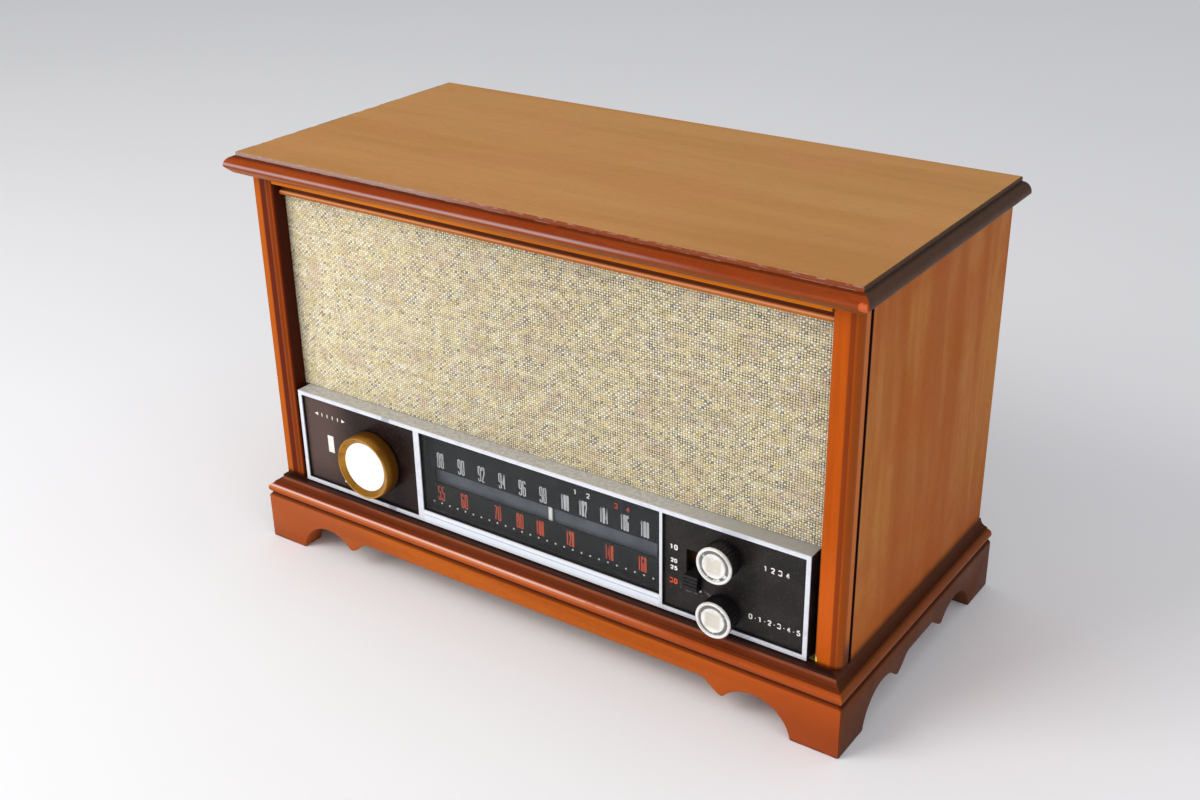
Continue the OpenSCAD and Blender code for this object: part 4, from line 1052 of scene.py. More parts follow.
def eased(node: str, name: str, width: float, segments: int = 2) -> bpy.types.Object:
    """A copy of a CAD node with its sharp edges rounded.

    Args:
        node: The node that it is copied from.
        name: The new piece's name.
        width: How far the rounding goes from an edge.
        segments: Facets of the rounding.

    Returns:
        The new object.
    """
    mesh = frame["nodes"][node].data.copy()
    mesh.name = name
    level, sharp = math.radians(0.5), math.radians(28)
    work = bmesh.new()
    work.from_mesh(mesh)
    bmesh.ops.remove_doubles(work, verts=work.verts, dist=1e-6)
    bmesh.ops.dissolve_limit(work, angle_limit=level, verts=work.verts, edges=work.edges)
    keen = [e for e in work.edges if len(e.link_faces) == 2 and e.calc_face_angle() > sharp]
    bmesh.ops.bevel(work, geom=keen, offset=width, offset_type="OFFSET", segments=segments, profile=0.5,
                    affect="EDGES", clamp_overlap=True)
    return worked(name, mesh, work, 40)


def place_piece(piece: bpy.types.Object, finish: Finish, body: str = "cabinet",
                stands_for: Sequence[str] = ()) -> bpy.types.Object:
    """Gives a piece its finish and the body that it rides on.

    Args:
        piece: The new piece.
        finish: Its finish.
        body: The CAD body that carries it.
        stands_for: CAD nodes that it is shown in place of.

    Returns:
        The same piece.
    """
    piece.data.materials.clear()
    piece.data.materials.append(finish.material())
    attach(piece, body)
    if stands_for:
        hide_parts(*stands_for)
    log.info("piece %s on %s: %d faces", piece.name, body, len(piece.data.polygons))
    return piece


def middle_of(node: str) -> Flat:
    """A node's middle in X and Z."""
    low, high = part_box(node)
    return ((low.x + high.x) / 2, (low.z + high.z) / 2)


Stain = tuple[Colour, Colour, Colour]


@dataclass(frozen=True)
class Stains:
    """The colours of the cabinet's stains: light, dark and drifting."""

    tan: Stain = (srgb(192, 142, 87), srgb(183, 132, 77), srgb(192, 134, 86))
    russet: Stain = (srgb(156, 71, 20), srgb(126, 47, 12), srgb(141, 58, 18))
    base: Stain = (srgb(176, 82, 28), srgb(150, 62, 20), srgb(164, 70, 24))
    side: Stain = (srgb(181, 116, 54), srgb(162, 86, 24), srgb(168, 82, 28))
    amber: Stain = (srgb(180, 80, 8), srgb(162, 68, 4), srgb(170, 74, 6))
    rail: Stain = (srgb(218, 122, 16), srgb(200, 106, 8), srgb(208, 112, 12))
    foot: Stain = (srgb(178, 90, 24), srgb(160, 74, 16), srgb(168, 80, 20))
    plain: Stain = (srgb(186, 148, 100), srgb(150, 112, 70), srgb(170, 130, 84))
    bead: Stain = (srgb(194, 112, 42), srgb(176, 98, 32), srgb(184, 104, 36))


@dataclass
class Finishes:
    """Every finish of the radio, by the record's slot, or by a CAD node's name where it has its own.

    Attributes:
        stains: The stains of the woods.
        dirt_and_shade: Colour of the dirt in a groove, also painted as shade in the quirk under the top's
            arris.
        rubbed: Colour of a rubbed arris.
        chip: Colour of the knock at the top's corner.
    """

    stains: Stains = field(default_factory=Stains)
    dirt_and_shade: Colour = srgb(44, 20, 12)
    rubbed: Colour = srgb(196, 178, 166)
    chip: Colour = srgb(196, 94, 52)

    def _wood(self, name: str, stain: Stain, **facts: object) -> WoodFinish:
        """A wood in one of the stains."""
        return WoodFinish(name, light=stain[0], dark=stain[1], warm=stain[2], **facts)

    def _top(self) -> dict[str, Finish]:
        """The top's veneer and its moulding, which is rubbed along the arris and dark at the sides, with a
        painted highlight along the nosing, painted shade in the quirk under the arris and painted shade over
        the field's front right.

        Returns:
            The two finishes by slot.
        """
        low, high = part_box("top_panel")
        top = high.z
        fade = 50 * MM
        thin = (fade, MM, 0.25 * MM)
        lower, fillet = span(low.z, -1, 6.5), span(top, -2.1, 1)
        veneer = (
            # Painted shade: the field darker over its front right, away from the light.
            Zone(srgb(170, 116, 62), x=(100 * MM, FAR), y=(low.y - 100 * MM, -40 * MM),
                 soft=(70 * MM, 40 * MM, MM), strength=0.5),
            Zone(srgb(214, 190, 164), y=span(low.y, 0, 7.2), soft=0.4 * MM, strength=0.3, broken=0.75,
                 grain=(14 * MM, 4 * MM, 4 * MM), gloss=0.2))
        moulding = (
            Zone(srgb(104, 48, 24), x=(20 * MM, FAR), z=(low.z + 8 * MM, top - 3 * MM),
                 soft=(fade, MM, 1.5 * MM), strength=0.3, broken=0.5, grain=(50 * MM, 9 * MM, 9 * MM)),
            Zone(srgb(158, 82, 20), z=lower, soft=0.5 * MM, strength=0.9),
            Zone(srgb(124, 60, 18), x=(30 * MM, FAR), z=lower, soft=(fade, MM, 0.5 * MM), strength=0.8),
            Zone(srgb(122, 60, 24), z=span(low.z, 6.0, 7.2), soft=0.3 * MM, strength=0.6),
            # Painted highlight: a pale lavender line along the lower ovolo, fading out to the right.
            Zone(srgb(186, 168, 168), x=(-FAR, 80 * MM), y=span(low.y, -1, 1.8), z=span(low.z, 7.7, 9.0),
                 soft=(fade, 0.5 * MM, 0.5 * MM), strength=0.5, broken=0.2, grain=24 * MM),
            Zone(srgb(158, 132, 122), x=(-FAR, -20 * MM), z=fillet, soft=thin, strength=0.85),
            Zone(srgb(124, 62, 36), x=(-20 * MM, FAR), z=fillet, soft=thin, strength=0.6),
            # Dark line in the quirk at the foot of the fillet: dirt and painted shade.
            Zone(self.dirt_and_shade, z=span(top, -2.8, -2.2), soft=0.2 * MM, strength=0.5, broken=0.1, grain=16 * MM),
            Zone(self.rubbed, z=span(top, -2.25, -1.95), soft=0.15 * MM, strength=0.4, broken=0.55,
                 grain=(9 * MM, 3 * MM, 3 * MM), gloss=0.2),
            Zone(self.rubbed, z=span(top, -0.5, 1), soft=0.2 * MM, strength=0.35, broken=0.6,
                 grain=(6 * MM, 2 * MM, 2 * MM), gloss=0.2),
            Flank(srgb(70, 58, 47), (high.x, low.y)),
            Spot((high.x - 3.1 * MM, low.y + 1.2 * MM, low.z + 7.2 * MM), 2.8 * MM, self.chip, 0.95, 0.2))
        return {
            "top_wood": self._wood(
                "tan_veneer", self.stains.tan, figure=22 * MM, mottle=0.5, fibre=0.22, pores=0.2, rough=0.55,
                marks=veneer),
            "moulding_wood": self._wood(
                "russet_moulding", self.stains.russet, rough=0.3, shine=0.08, coat=0.05, pores=0.25,
                marks=moulding),
        }

    def _stile(self, name: str, *marks: Mark) -> WoodFinish:
        """A stile with its marks."""
        return self._wood(name, self.stains.amber, grain=Axis.Z, figure=8 * MM, mottle=0.2, pores=0.15,
                          rough=0.35, coat=0.04, marks=marks)

    def _frame(self) -> dict[str, Finish]:
        """The stiles, the rail and the bead under it, with painted shade on the stiles' rounds and the left
        stile's inner side, painted shade in the rail's recess and a painted highlight on the bead.

        Returns:
            The finishes by slot or node.
        """
        near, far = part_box("right_stile")
        inner, outer, face, foot = near.x, far.x, near.y, near.z
        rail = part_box("top_rail")[0].z
        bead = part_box("grille_bead")[1].z
        edge, side = span(outer, -0.4, 1), span(face, 4.7, 60)
        # Right stile: painted shade on the outer round, which turns away from the light; the side edge darker
        # towards the foot.
        right = (
            Zone(srgb(204, 92, 28), z=span(foot, 12, 62), soft=24 * MM, strength=0.6),
            Zone(srgb(117, 47, 14), x=span(outer, -5.4, -2.7), soft=0.5 * MM, strength=0.85),
            Zone(srgb(140, 67, 16), x=span(outer, -2.4, 1), soft=0.4 * MM, strength=0.9),
            Zone(srgb(183, 99, 34), x=edge, y=side, soft=0.4 * MM),
            Zone(srgb(107, 56, 18), x=edge, y=side, z=span(foot, -1, 8), soft=(0.4 * MM, 0.4 * MM, 8 * MM)),
            Zone(srgb(158, 82, 24), x=span(inner, -1, 1.3), soft=0.4 * MM, strength=0.8))
        # Left stile: painted shade in a dark band down the face, on the inner round and, near black, on the
        # inner side, which faces away from the light.
        left = (
            Zone(srgb(174, 84, 8), x=span(-outer, -1, 4.8), soft=0.6 * MM),
            Zone(srgb(84, 24, 2), x=span(-outer, 5.0, 9.4), soft=0.8 * MM, strength=0.95),
            Zone(srgb(112, 48, 8), x=span(-outer, 9.9, 12.4), soft=0.5 * MM, strength=0.95),
            Zone(srgb(84, 26, 4), x=span(-inner, -1.6, 1), soft=0.6 * MM, strength=0.95),
            Zone(srgb(58, 18, 6), x=span(-inner, -1, 1), y=span(face, 1.2, 30), soft=0.6 * MM))
        shade = (
            Zone(srgb(48, 18, 8), z=span(foot, -1, 2.2), soft=1.4 * MM, strength=0.9),
            Zone(srgb(84, 42, 20), y=span(face, 3, 60), z=span(foot, -1, 14), soft=(MM, MM, 8 * MM),
                 strength=0.75))
        joint = Zone(self.dirt_and_shade, y=span(face, 8.8, 60), soft=0.15 * MM)
        fleck = Spot((inner + 0.6 * MM, face + 2 * MM, foot + 3 * MM), 2.2 * MM, srgb(232, 214, 90))
        # Rail: a paler middle, and painted shade in the recess under the nosing.
        rail_tone_and_shade = (
            Zone(srgb(180, 96, 22), x=(-30 * MM, 60 * MM), soft=40 * MM, strength=0.6),
            Zone(srgb(74, 32, 10), z=span(rail, -1, 7.3), soft=0.35 * MM, strength=0.97))
        # Bead: a painted highlight along its top and painted shade on its lower half.
        bead_highlight_and_shade = (
            Zone(srgb(232, 172, 132), z=span(bead, -1.1, -0.35), soft=0.25 * MM, strength=0.85),
            Zone(srgb(150, 76, 24), z=span(bead, -4, -2.1), soft=0.4 * MM, strength=0.5))
        return {
            "stile_wood": self._stile("amber_stile", *right, *shade, joint, fleck),
            "left_stile": self._stile("amber_left_stile", *left, *shade, joint),
            "top_rail": self._wood(
                "amber_rail", self.stains.rail, figure=8 * MM, mottle=0.25, pores=0.15, rough=0.35, coat=0.04,
                marks=rail_tone_and_shade),
            "bead_wood": self._wood("bead_strip", self.stains.bead, rough=0.3, marks=bead_highlight_and_shade),
        }

    def _base(self) -> dict[str, Finish]:
        """The side panels, the base moulding, the foot boards and the plain boards inside, with a painted
        highlight along the moulding's bead.

        Returns:
            The finishes, by slot for all but the moulding.
        """
        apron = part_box("front_apron")[1].z
        low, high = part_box("base_moulding_front")
        corner, top = (high.x, low.y), high.z
        crest = top - 5.3 * MM
        fade, depth = 60 * MM, 24 * MM
        thin = (fade, MM, 0.25 * MM)
        band = (
            # Painted highlight along the top of the moulding's bead, fading out to the right, over a warmer
            # band.
            Zone(srgb(200, 124, 78), x=(-FAR, 60 * MM), z=span(crest, -2.2, -0.6), soft=(fade, MM, 0.4 * MM),
                 strength=0.5),
            Zone(srgb(226, 190, 184), x=(-FAR, 50 * MM), z=span(crest, -1.1, -0.4), soft=thin, strength=0.8,
                 broken=0.1, grain=30 * MM),
            Zone(srgb(98, 42, 20), z=(crest - 0.15 * MM, top + MM), soft=0.25 * MM, strength=0.92),
            Zone(srgb(136, 76, 48), z=span(top, -2.6, -1.4), soft=0.4 * MM, strength=0.75, broken=0.3,
                 grain=(60 * MM, 4 * MM, 2 * MM)),
            Zone(srgb(36, 18, 12), z=span(top, -1.2, -0.3), soft=0.3 * MM, strength=0.95),
            Zone(srgb(44, 24, 18), z=span(top, -0.4, 1), soft=0.3 * MM, strength=0.96, broken=0.05,
                 grain=(50 * MM, 2 * MM, MM)),
            Flank(srgb(119, 64, 30), corner, depth),
            Flank(srgb(69, 34, 18), corner, depth, z=(crest + 0.2 * MM, top + MM)),
            Zone(self.dirt_and_shade, z=span(apron, -0.2, 1.5), soft=0.35 * MM, strength=0.9))
        foot = (
            Zone(srgb(176, 78, 28), x=(110 * MM, FAR), soft=60 * MM, strength=0.8),
            Zone(srgb(140, 60, 24), x=(150 * MM, FAR), z=(-MM, 22 * MM), soft=(24 * MM, MM, 14 * MM),
                 strength=0.75),
            Zone(srgb(160, 78, 38), x=(-FAR, -120 * MM), soft=50 * MM, strength=0.85),
            Zone(srgb(146, 64, 28), x=(-FAR, FAR), z=(-MM, 8 * MM), soft=6 * MM, strength=0.5),
            Flank(srgb(84, 49, 28), corner, depth),
            Zone(srgb(70, 28, 14), z=span(apron, -1.0, 1), soft=0.5 * MM, strength=0.6),
            # Darker along the bottom edge at the floor.
            Zone(self.dirt_and_shade, z=(-MM, 1.2 * MM), soft=0.7 * MM, strength=0.6, broken=0.3))
        seam, lower_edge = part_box("right_side")[0].yz
        side = (
            Zone(srgb(164, 78, 26), z=span(lower_edge, -9, 24), soft=22 * MM, strength=0.5),
            # Darker towards the foot of the side panel.
            Zone(self.dirt_and_shade, z=span(lower_edge, -9, 2.5), soft=4 * MM, strength=0.85),
            Zone(self.dirt_and_shade, y=span(seam, -1, 0.5), soft=0.2 * MM))
        return {
            "base_moulding": self._wood(
                "russet_base", self.stains.base, rough=0.3, shine=0.08, coat=0.04, pores=0.25, marks=band),
            "side_wood": self._wood(
                "side_veneer", self.stains.side, grain=Axis.Z, figure=24 * MM, mottle=0.55, fibre=0.25,
                pores=0.25, rough=0.42, marks=side),
            "apron_wood": self._wood(
                "foot_board", self.stains.foot, figure=14 * MM, mottle=0.3, rough=0.38, coat=0.04,
                marks=foot),
            "plain_wood": self._wood("plain_boards", self.stains.plain, rough=0.7),
        }

    def woods(self) -> dict[str, Finish]:
        """The cabinet's woods.

        Returns:
            The finishes by slot or node.
        """
        base = self._base()
        moulding = base.pop("base_moulding")
        runs = {f"base_moulding_{side}": moulding for side in ("front", "left", "right")}
        return {**self._top(), **self._frame(), **base, **runs}

    def housing(self) -> dict[str, Finish]:
        """The cloth, the dial housing with what is behind its glass, and the knobs, with painted reflections
        on the trim, painted sheen on the tuning panel and a painted glint by the band lever.

        Returns:
            The finishes by slot.
        """
        tuning = middle_of("tuning_knob")
        low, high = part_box("tuning_panel")
        face = low.y
        rim = span(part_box("dial_escutcheon")[1].z, -0.4, 1)
        rim_marks = (
            Zone(srgb(190, 189, 186), z=rim, soft=0.1 * MM, gloss=0.12),
            Zone(srgb(158, 157, 152), x=(110 * MM, FAR), z=rim, soft=(40 * MM, MM, 0.1 * MM)),
            Zone(srgb(164, 163, 158), z=rim, soft=0.1 * MM, strength=0.7, broken=0.5, grain=2.5 * MM))
        # Painted sheen: the gloss panel paler over its upper left, towards the light.
        painted_sheen = Zone(srgb(88, 69, 64), x=span(low.x, -50, 30), z=(low.z + 2 * MM, high.z + 50 * MM),
                    soft=16 * MM, strength=0.9)
        left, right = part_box("band_lever")
        foot = left.z
        # Pale scuffs along the foot of the band lever, partly a painted highlight on the slot's edge, and
        # beside them a painted white glint.
        scuffs_and_glint = (
            Zone(srgb(150, 144, 140), x=(left.x - 2 * MM, right.x + 7 * MM), z=span(foot, -1.8, 1.6),
                 soft=1.0 * MM, strength=0.5, broken=0.55, grain=3 * MM, gloss=0.2),
            Spot(((left.x + right.x) / 2 + 4 * MM, face, foot + 0.6 * MM), 0.9 * MM, srgb(235, 235, 235)))
        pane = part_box("dial_window")
        window, left_bar = (pane[0].x, pane[1].x), (-104 * MM, -98 * MM)
        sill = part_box("silver_trim")[0].z
        # Painted reflections on the chrome trim: a bluish cast on the left bar, and the sill bright white
        # with a blue line along it.
        trim_reflections = (
            Zone(srgb(150, 156, 172), x=left_bar, soft=MM, strength=0.7),
            Zone(srgb(238, 244, 252), x=window, z=span(sill, -12, 7.2), soft=0.4 * MM, strength=0.8),
            Zone(srgb(120, 160, 190), x=window, z=span(sill, 4.6, 5.2), soft=0.2 * MM, strength=0.6))
        cup_shade = Zone(srgb(118, 66, 16), y=span(face, -7.4, 0), soft=1.6 * MM, strength=0.75)
        return {
            "grille_cloth": WeaveFinish("woven_cloth"),
            "dark_plastic": PlasticFinish(
                "housing_plastic", srgb(24, 22, 22), srgb(36, 34, 33), 0.4, marks=rim_marks),
            "gloss_panel": PlasticFinish(
                "maroon_gloss", srgb(30, 20, 18), srgb(40, 28, 26), 0.25, relief=0.004 * MM, dust=0.25,
                shine=0.12, coat=0.04, marks=(painted_sheen,)),
            "black_panel": PlasticFinish(
                "black_gloss", srgb(34, 30, 30), srgb(45, 40, 40), 0.35, relief=0.006 * MM, dust=0.35,
                shine=0.15, coat=0.05, marks=scuffs_and_glint),
            "silver_rim": MetalFinish(
                "silver_rim", srgb(228, 231, 238), srgb(164, 167, 178), 0.3, Lay.DRAWN, tarnish=0.4,
                shine=0.3, marks=trim_reflections),
            "window_glass": GlassFinish("window_glass"),
            "scale_black": PlasticFinish(
                "scale_black", srgb(25, 23, 24), srgb(31, 29, 30), 0.5, relief=0.0005 * MM, dust=0.03,
                shine=0.15),
            "reflector_grey": PlasticFinish(
                "reflector_grey", srgb(102, 103, 112), srgb(84, 85, 94), 0.7, shine=0.2),
            "white_plastic": PlasticFinish("white_plastic", srgb(240, 238, 232), srgb(226, 222, 212), 0.4),
            "cream_plastic": PlasticFinish("cream_plastic", srgb(216, 200, 160), srgb(200, 182, 138), 0.45),
            "knob_brass": MetalFinish(
                "satin_brass", srgb(190, 134, 46), srgb(108, 72, 20), 0.38, Lay.SPUN, tuning, tarnish=0.7,
                shine=0.7, marks=(cup_shade,)),
            "knob_disc": MetalFinish(
                "spun_disc", srgb(255, 254, 250), srgb(222, 216, 204), 0.3, Lay.SPUN, tuning, tarnish=0.08,
                relief=0.015 * MM, shine=0.1),
            "knob_body": PlasticFinish(
                "knob_black", srgb(22, 20, 21), srgb(34, 31, 31), 0.38, dust=0.25, shine=0.3),
            "knob_cap": MetalFinish(
                "knob_chrome", srgb(246, 247, 248), srgb(160, 154, 144), 0.14, Lay.SPUN,
                middle_of("tone_knob"), tarnish=0.15, shine=0.6),
        }

    def works(self) -> dict[str, Finish]:
        """The works and the back, under the names of their slots.

        Returns:
            The finishes by slot.
        """
        silver = Zone(srgb(150, 152, 156), z=span(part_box("miniature_tubes")[1].z, -9, 1), soft=2 * MM,
                      strength=0.85)
        finishes = (
            MetalFinish("bright_steel", srgb(190, 192, 194), rough=0.25, lay=Lay.DRAWN),
            GlassFinish("lamp_glass", body=0.08),
            MetalFinish("control_metal", srgb(160, 160, 158), rough=0.4, tarnish=0.4),
            FibreFinish("switch_board", srgb(120, 82, 48), srgb(92, 60, 34), 1.5 * MM),
            MetalFinish("plate_metal", srgb(206, 208, 210), rough=0.3, lay=Lay.DRAWN, along=Axis.Z),
            FibreFinish("cord_fibre", srgb(206, 182, 122), srgb(168, 142, 86), 0.6 * MM, 0.05 * MM),
            MetalFinish("chassis_metal", srgb(150, 152, 152), srgb(112, 104, 90), 0.45, tarnish=0.7),
            GlassFinish("tube_glass", srgb(214, 220, 220), 0.06, 0.03, 0.1, silver),
            MetalFinish("can_metal", srgb(198, 200, 202), rough=0.35, lay=Lay.DRAWN, along=Axis.Z),
            MetalFinish(
                "lamination", srgb(96, 98, 100), srgb(82, 54, 36), 0.55, Lay.DRAWN, along=Axis.Z,
                tarnish=0.6),
            MetalFinish("speaker_metal", srgb(72, 74, 78), srgb(54, 48, 42), 0.5, tarnish=0.4),
            FibreFinish("speaker_paper", srgb(62, 56, 50), srgb(44, 39, 34), 4 * MM, 0.2 * MM),
            PlasticFinish("ferrite", srgb(52, 52, 55), srgb(66, 64, 64), 0.55, relief=0.05 * MM),
            PlasticFinish("inlet_plastic", srgb(52, 34, 28), srgb(64, 44, 36), 0.35),
            FibreFinish("fibreboard"),
            MetalFinish("screw_brass", srgb(196, 170, 110), srgb(110, 84, 44), 0.3, tarnish=0.5),
        )
        return {finish.name: finish for finish in finishes}

    def named(self) -> dict[str, Finish]:
        """Every finish, by its slot or node."""
        return {**self.woods(), **self.housing(), **self.works()}


@dataclass
class TopBoard:
    """The top: a veneered field in a moulding that is mitred round the front and the ends.

    Attributes:
        under: How far in from the nosing the underside starts, at the sides and at the front.
        tip: Width of the bevel under the nosing's tip.
        rise: Rise of the underside from the cabinet to that bevel.
        fillet: Height of the square fillet under the arris.
        arris_in: Setback of the arris from the nosing.
        ledge: Width of the step at the foot of the fillet.
        rim: Width of the moulding's flat edge beside the field.
        station: Length of a stretch of the worn edge.
        wear: How deep the arris is worn.
        half_width: Distance along X over which the wear of the ends fades to the middle.
        front_run: Place along Y in front of which the front edge is worn.
    """

    finishes: dict[str, Finish]
    under: Flat = (8.7 * MM, 10.0 * MM)
    tip: float = 3.6 * MM
    rise: float = 3.0 * MM
    fillet: float = 2.4 * MM
    arris_in: float = 5.4 * MM
    ledge: float = 0.4 * MM
    rim: float = 0.5 * MM
    station: float = 2.5 * MM
    wear: float = 0.28 * MM
    half_width: float = 200 * MM
    front_run: float = -80 * MM

    def _seam(self) -> Point:
        """Where the underside passes from the moulding to the field, as a point of the section.

        Returns:
            Inset at the sides, inset at the front and height.
        """
        aside, ahead = self.under
        share = (self.arris_in + self.rim - self.tip) / (aside - self.tip)
        return (self.arris_in + self.rim, self.tip + (ahead - self.tip) * share, self.rise * (1 - share))

    def _section(self, height: float) -> list[Point]:
        """The moulding's outline: inset from the nosing at the sides and at the front, and height.

        Args:
            height: Height of the whole moulding.

        Returns:
            The outline's points, in order round it.
        """
        start = self.rise + self.tip + 0.5 * MM
        sweep, crown = self.arris_in - self.ledge, height - self.fillet - start
        turns = [math.radians(6 * i) for i in range(16)]
        line = [(self.tip + 0.3 * MM, self.rise - 0.15 * MM), (self.tip - 0.15 * MM, self.rise + 0.2 * MM),
                (0.2 * MM, start - 0.6 * MM)]
        line += [(sweep * (1 - math.cos(a)), start + crown * math.sin(a)) for a in turns]
        soft = 0.35 * MM
        line += [(self.arris_in, height - self.fillet), (self.arris_in, height - soft),
                 (self.arris_in + 0.1 * MM, height - 0.1 * MM), (self.arris_in + soft, height),
                 (self.arris_in + self.rim, height)]
        return [self._seam(), *((inset, inset, up) for inset, up in line)]

    def _worn(self, point: Point, low: float) -> Point:
        """Moves a point of the arris in and down where the edge is worn.

        Args:
            point: The point.
            low: Height from which a point belongs to the arris.

        Returns:
            The moved point.
        """
        x, y, z = point
        if z < low:
            return point
        coarse = noise.noise(Vector((x, y, 0.0)) / (7 * MM))
        fine = noise.noise(Vector((x, y, 9.0)) / (2.4 * MM))
        depth = self.wear * max(0.0, coarse + 0.5 * fine - 0.05)
        return (x * (1 - depth / self.half_width), y + depth if y < self.front_run else y, z - depth)

    def _moulding(self, low: Vector, high: Vector) -> Shape:
        """The moulding: its section swept along the left end, the front and the right end.

        Args:
            low: The low corner of the node's box.
            high: Its high corner.

        Returns:
            Its shape.
        """
        section = self._section(high.z - low.z)
        corners = [(-1, high.y, 0), (-1, low.y, 1), (1, low.y, 1), (1, high.y, 0)]
        ends = [[(side * (high.x - aside), y + ahead * turn, low.z + up) for aside, ahead, up in section]
                for side, y, turn in corners]
        rows: list[list[Point]] = []
        for first, last in zip(ends, ends[1:]):
            length = (Vector(last[0]) - Vector(first[0])).length
            steps = max(2, round(length / self.station))
            for i in range(steps):
                rows.append([tuple(Vector(a).lerp(Vector(b), i / steps)) for a, b in zip(first, last)])
        rows.append(ends[-1])
        edge = high.z - 1.2 * MM
        rows = [[self._worn(p, edge) for p in row] for row in rows]
        moulding = Shape()
        moulding.grid(rows, round_row=True)
        count = len(section)
        moulding.add(rows[0], [tuple(range(count))])
        moulding.add(rows[-1], [tuple(range(count))[::-1]])
        return moulding

    def _field(self, low: Vector, high: Vector) -> Shape:
        """The field between the mouldings, down to the bevelled underside.

        Args:
            low: The low corner of the node's box.
            high: Its high corner.

        Returns:
            Its shape.
        """
        aside, ahead, up = self._seam()
        lip = 0.25 * MM
        board = Shape()
        for side, front, z in ((*self.under, low.z), (aside, ahead, low.z + up), (aside, aside, high.z - lip),
                               (aside + lip, aside + lip, high.z)):
            x, y = high.x - side, low.y + front
            board.points.extend([(-x, y, z), (x, y, z), (x, high.y, z), (-x, high.y, z)])
        for level in (0, 4, 8):
            for i in range(4):
                after = (i + 1) % 4
                board.faces.append((level + i, level + after, level + 4 + after, level + 4 + i))
        board.faces.extend([(3, 2, 1, 0), (12, 13, 14, 15)])
        return board

    def build(self) -> list[bpy.types.Object]:
        """Makes the moulding and the field.

        Returns:
            The two pieces.
        """
        low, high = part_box("top_panel")
        moulding = self._moulding(low, high).piece("top_moulding", 30)
        board = self._field(low, high).piece("top_field")
        return [
            place_piece(moulding, self.finishes["moulding_wood"], stands_for=("top_panel",)),
            place_piece(board, self.finishes["top_wood"], stands_for=("top_panel",)),
        ]


@dataclass
class Base:
    """The bracket-foot boards, with eased edges."""

    finishes: dict[str, Finish]
    ease: float = 0.7 * MM

    def build(self) -> list[bpy.types.Object]:
        """Makes the three boards that show.

        Returns:
            The three pieces.
        """
        made = []
        for side in ("front", "left", "right"):
            node = f"{side}_apron"
            board = eased(node, f"{side}_foot_board", self.ease)
            made.append(place_piece(board, self.finishes["apron_wood"], stands_for=(node,)))
        return made


@dataclass
class LeftStile:
    """The left stile, whose outer edge is keener than the right one's.

    Attributes:
        edge: Radius of that edge.
        near: How far from it the points are looked for.
    """

    finishes: dict[str, Finish]
    edge: float = 0.9 * MM
    near: float = 9 * MM

    def build(self) -> bpy.types.Object:
        """Copies the node and draws its outer round in to the smaller radius.

        Returns:
            The piece.
        """
        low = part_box("left_stile")[0]
        mesh = frame["nodes"]["left_stile"].data.copy()
        points = [point.co for point in mesh.vertices]
        corner = [point for point in points if point.x < low.x + self.near and point.y < low.y + self.near]
        radius = min(point.y for point in corner if point.x < low.x + 0.01 * MM) - low.y
        share = self.edge / radius
        for point in corner:
            if point.x <= low.x + radius and point.y <= low.y + radius:
                point.x = low.x + (point.x - low.x) * share
                point.y = low.y + (point.y - low.y) * share
        return place_piece(linked("left_stile_board", mesh), self.finishes["left_stile"],
                           stands_for=("left_stile",))


@dataclass
class Grille:
    """The woven cloth, stretched over the baffle board.

    Attributes:
        pitch: Distance between threads along X and Z.
        samples: Points of the mesh for each thread.
        relief: Height of a crossing over the gaps.
        slack: How much the cloth waves between its glued edges.
        wave: Length of such a wave along X and Z.
        knot: Length over which a yarn's thickness changes.
        round_over: Power of a thread's outline along its length and across it.
    """

    finishes: dict[str, Finish]
    pitch: Flat = (1.5 * MM, 1.3 * MM)
    samples: int = 4
    relief: float = 0.34 * MM
    slack: float = 0.12 * MM
    wave: Flat = (50 * MM, 30 * MM)
    knot: float = 4 * MM
    round_over: Flat = (0.45, 1.1)

    def _height(self, x: float, z: float) -> float:
        """How far a thread stands forward at a place.

        Args:
            x: The place along X.
            z: Its height.

        Returns:
            The distance in metres.
        """
        across, up = x / self.pitch[0], z / self.pitch[1]
        column, row = math.floor(across), math.floor(up)
        aside = max(math.cos(math.pi * (across - column - 0.5)), 0.0)
        above = max(math.cos(math.pi * (up - row - 0.5)), 0.0)
        weft_up = (column + row) % 2 == 0
        power_x, power_z = self.round_over if weft_up else self.round_over[::-1]
        crossing = aside ** power_x * above ** power_z
        wave = noise.noise(Vector((x / self.wave[0], 0.0, z / self.wave[1])))
        uneven = 0.7 + 0.6 * noise.noise(Vector((x / self.knot, 7.0, z / self.knot)))
        return self.relief * crossing * uneven * (1.0 if weft_up else 0.8) + self.slack * wave

    def build(self) -> bpy.types.Object:
        """Makes the cloth.

        Returns:
            The piece.
        """
        low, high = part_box("grille_cloth")
        samples = self.samples
        across = math.ceil((high.x - low.x) * samples / self.pitch[0])
        up = math.ceil((high.z - low.z) * samples / self.pitch[1])
        base = low.y + self.relief + self.slack * 0.6
        rows = []
        for j in range(up + 1):
            z = low.z + (high.z - low.z) * j / up
            xs = (low.x + (high.x - low.x) * i / across for i in range(across + 1))
            rows.append([(x, base - self._height(x, z), z) for x in xs])
        cloth = Shape()
        cloth.grid(rows)
        piece = place_piece(cloth.piece("grille_fabric", 180, 1e-7), self.finishes["grille_cloth"],
                            stands_for=("grille_cloth",))
        return piece


class Ink(Enum):
    """A printing ink, with its colours: fresh and faded."""

    GREY = (srgb(206, 204, 203), srgb(178, 177, 178))
    WHITE = (srgb(240, 238, 232), srgb(216, 212, 204))
    ORANGE = (srgb(226, 92, 48), srgb(196, 70, 36))
    RED = (srgb(216, 86, 50), srgb(186, 72, 42))

    def finish(self) -> PlasticFinish:
        """The ink as a finish."""
        fresh, faded = self.value
        return PlasticFinish(f"ink_{self.name.lower()}", fresh, faded, 0.6, 0.3 * MM, dust=0.0)


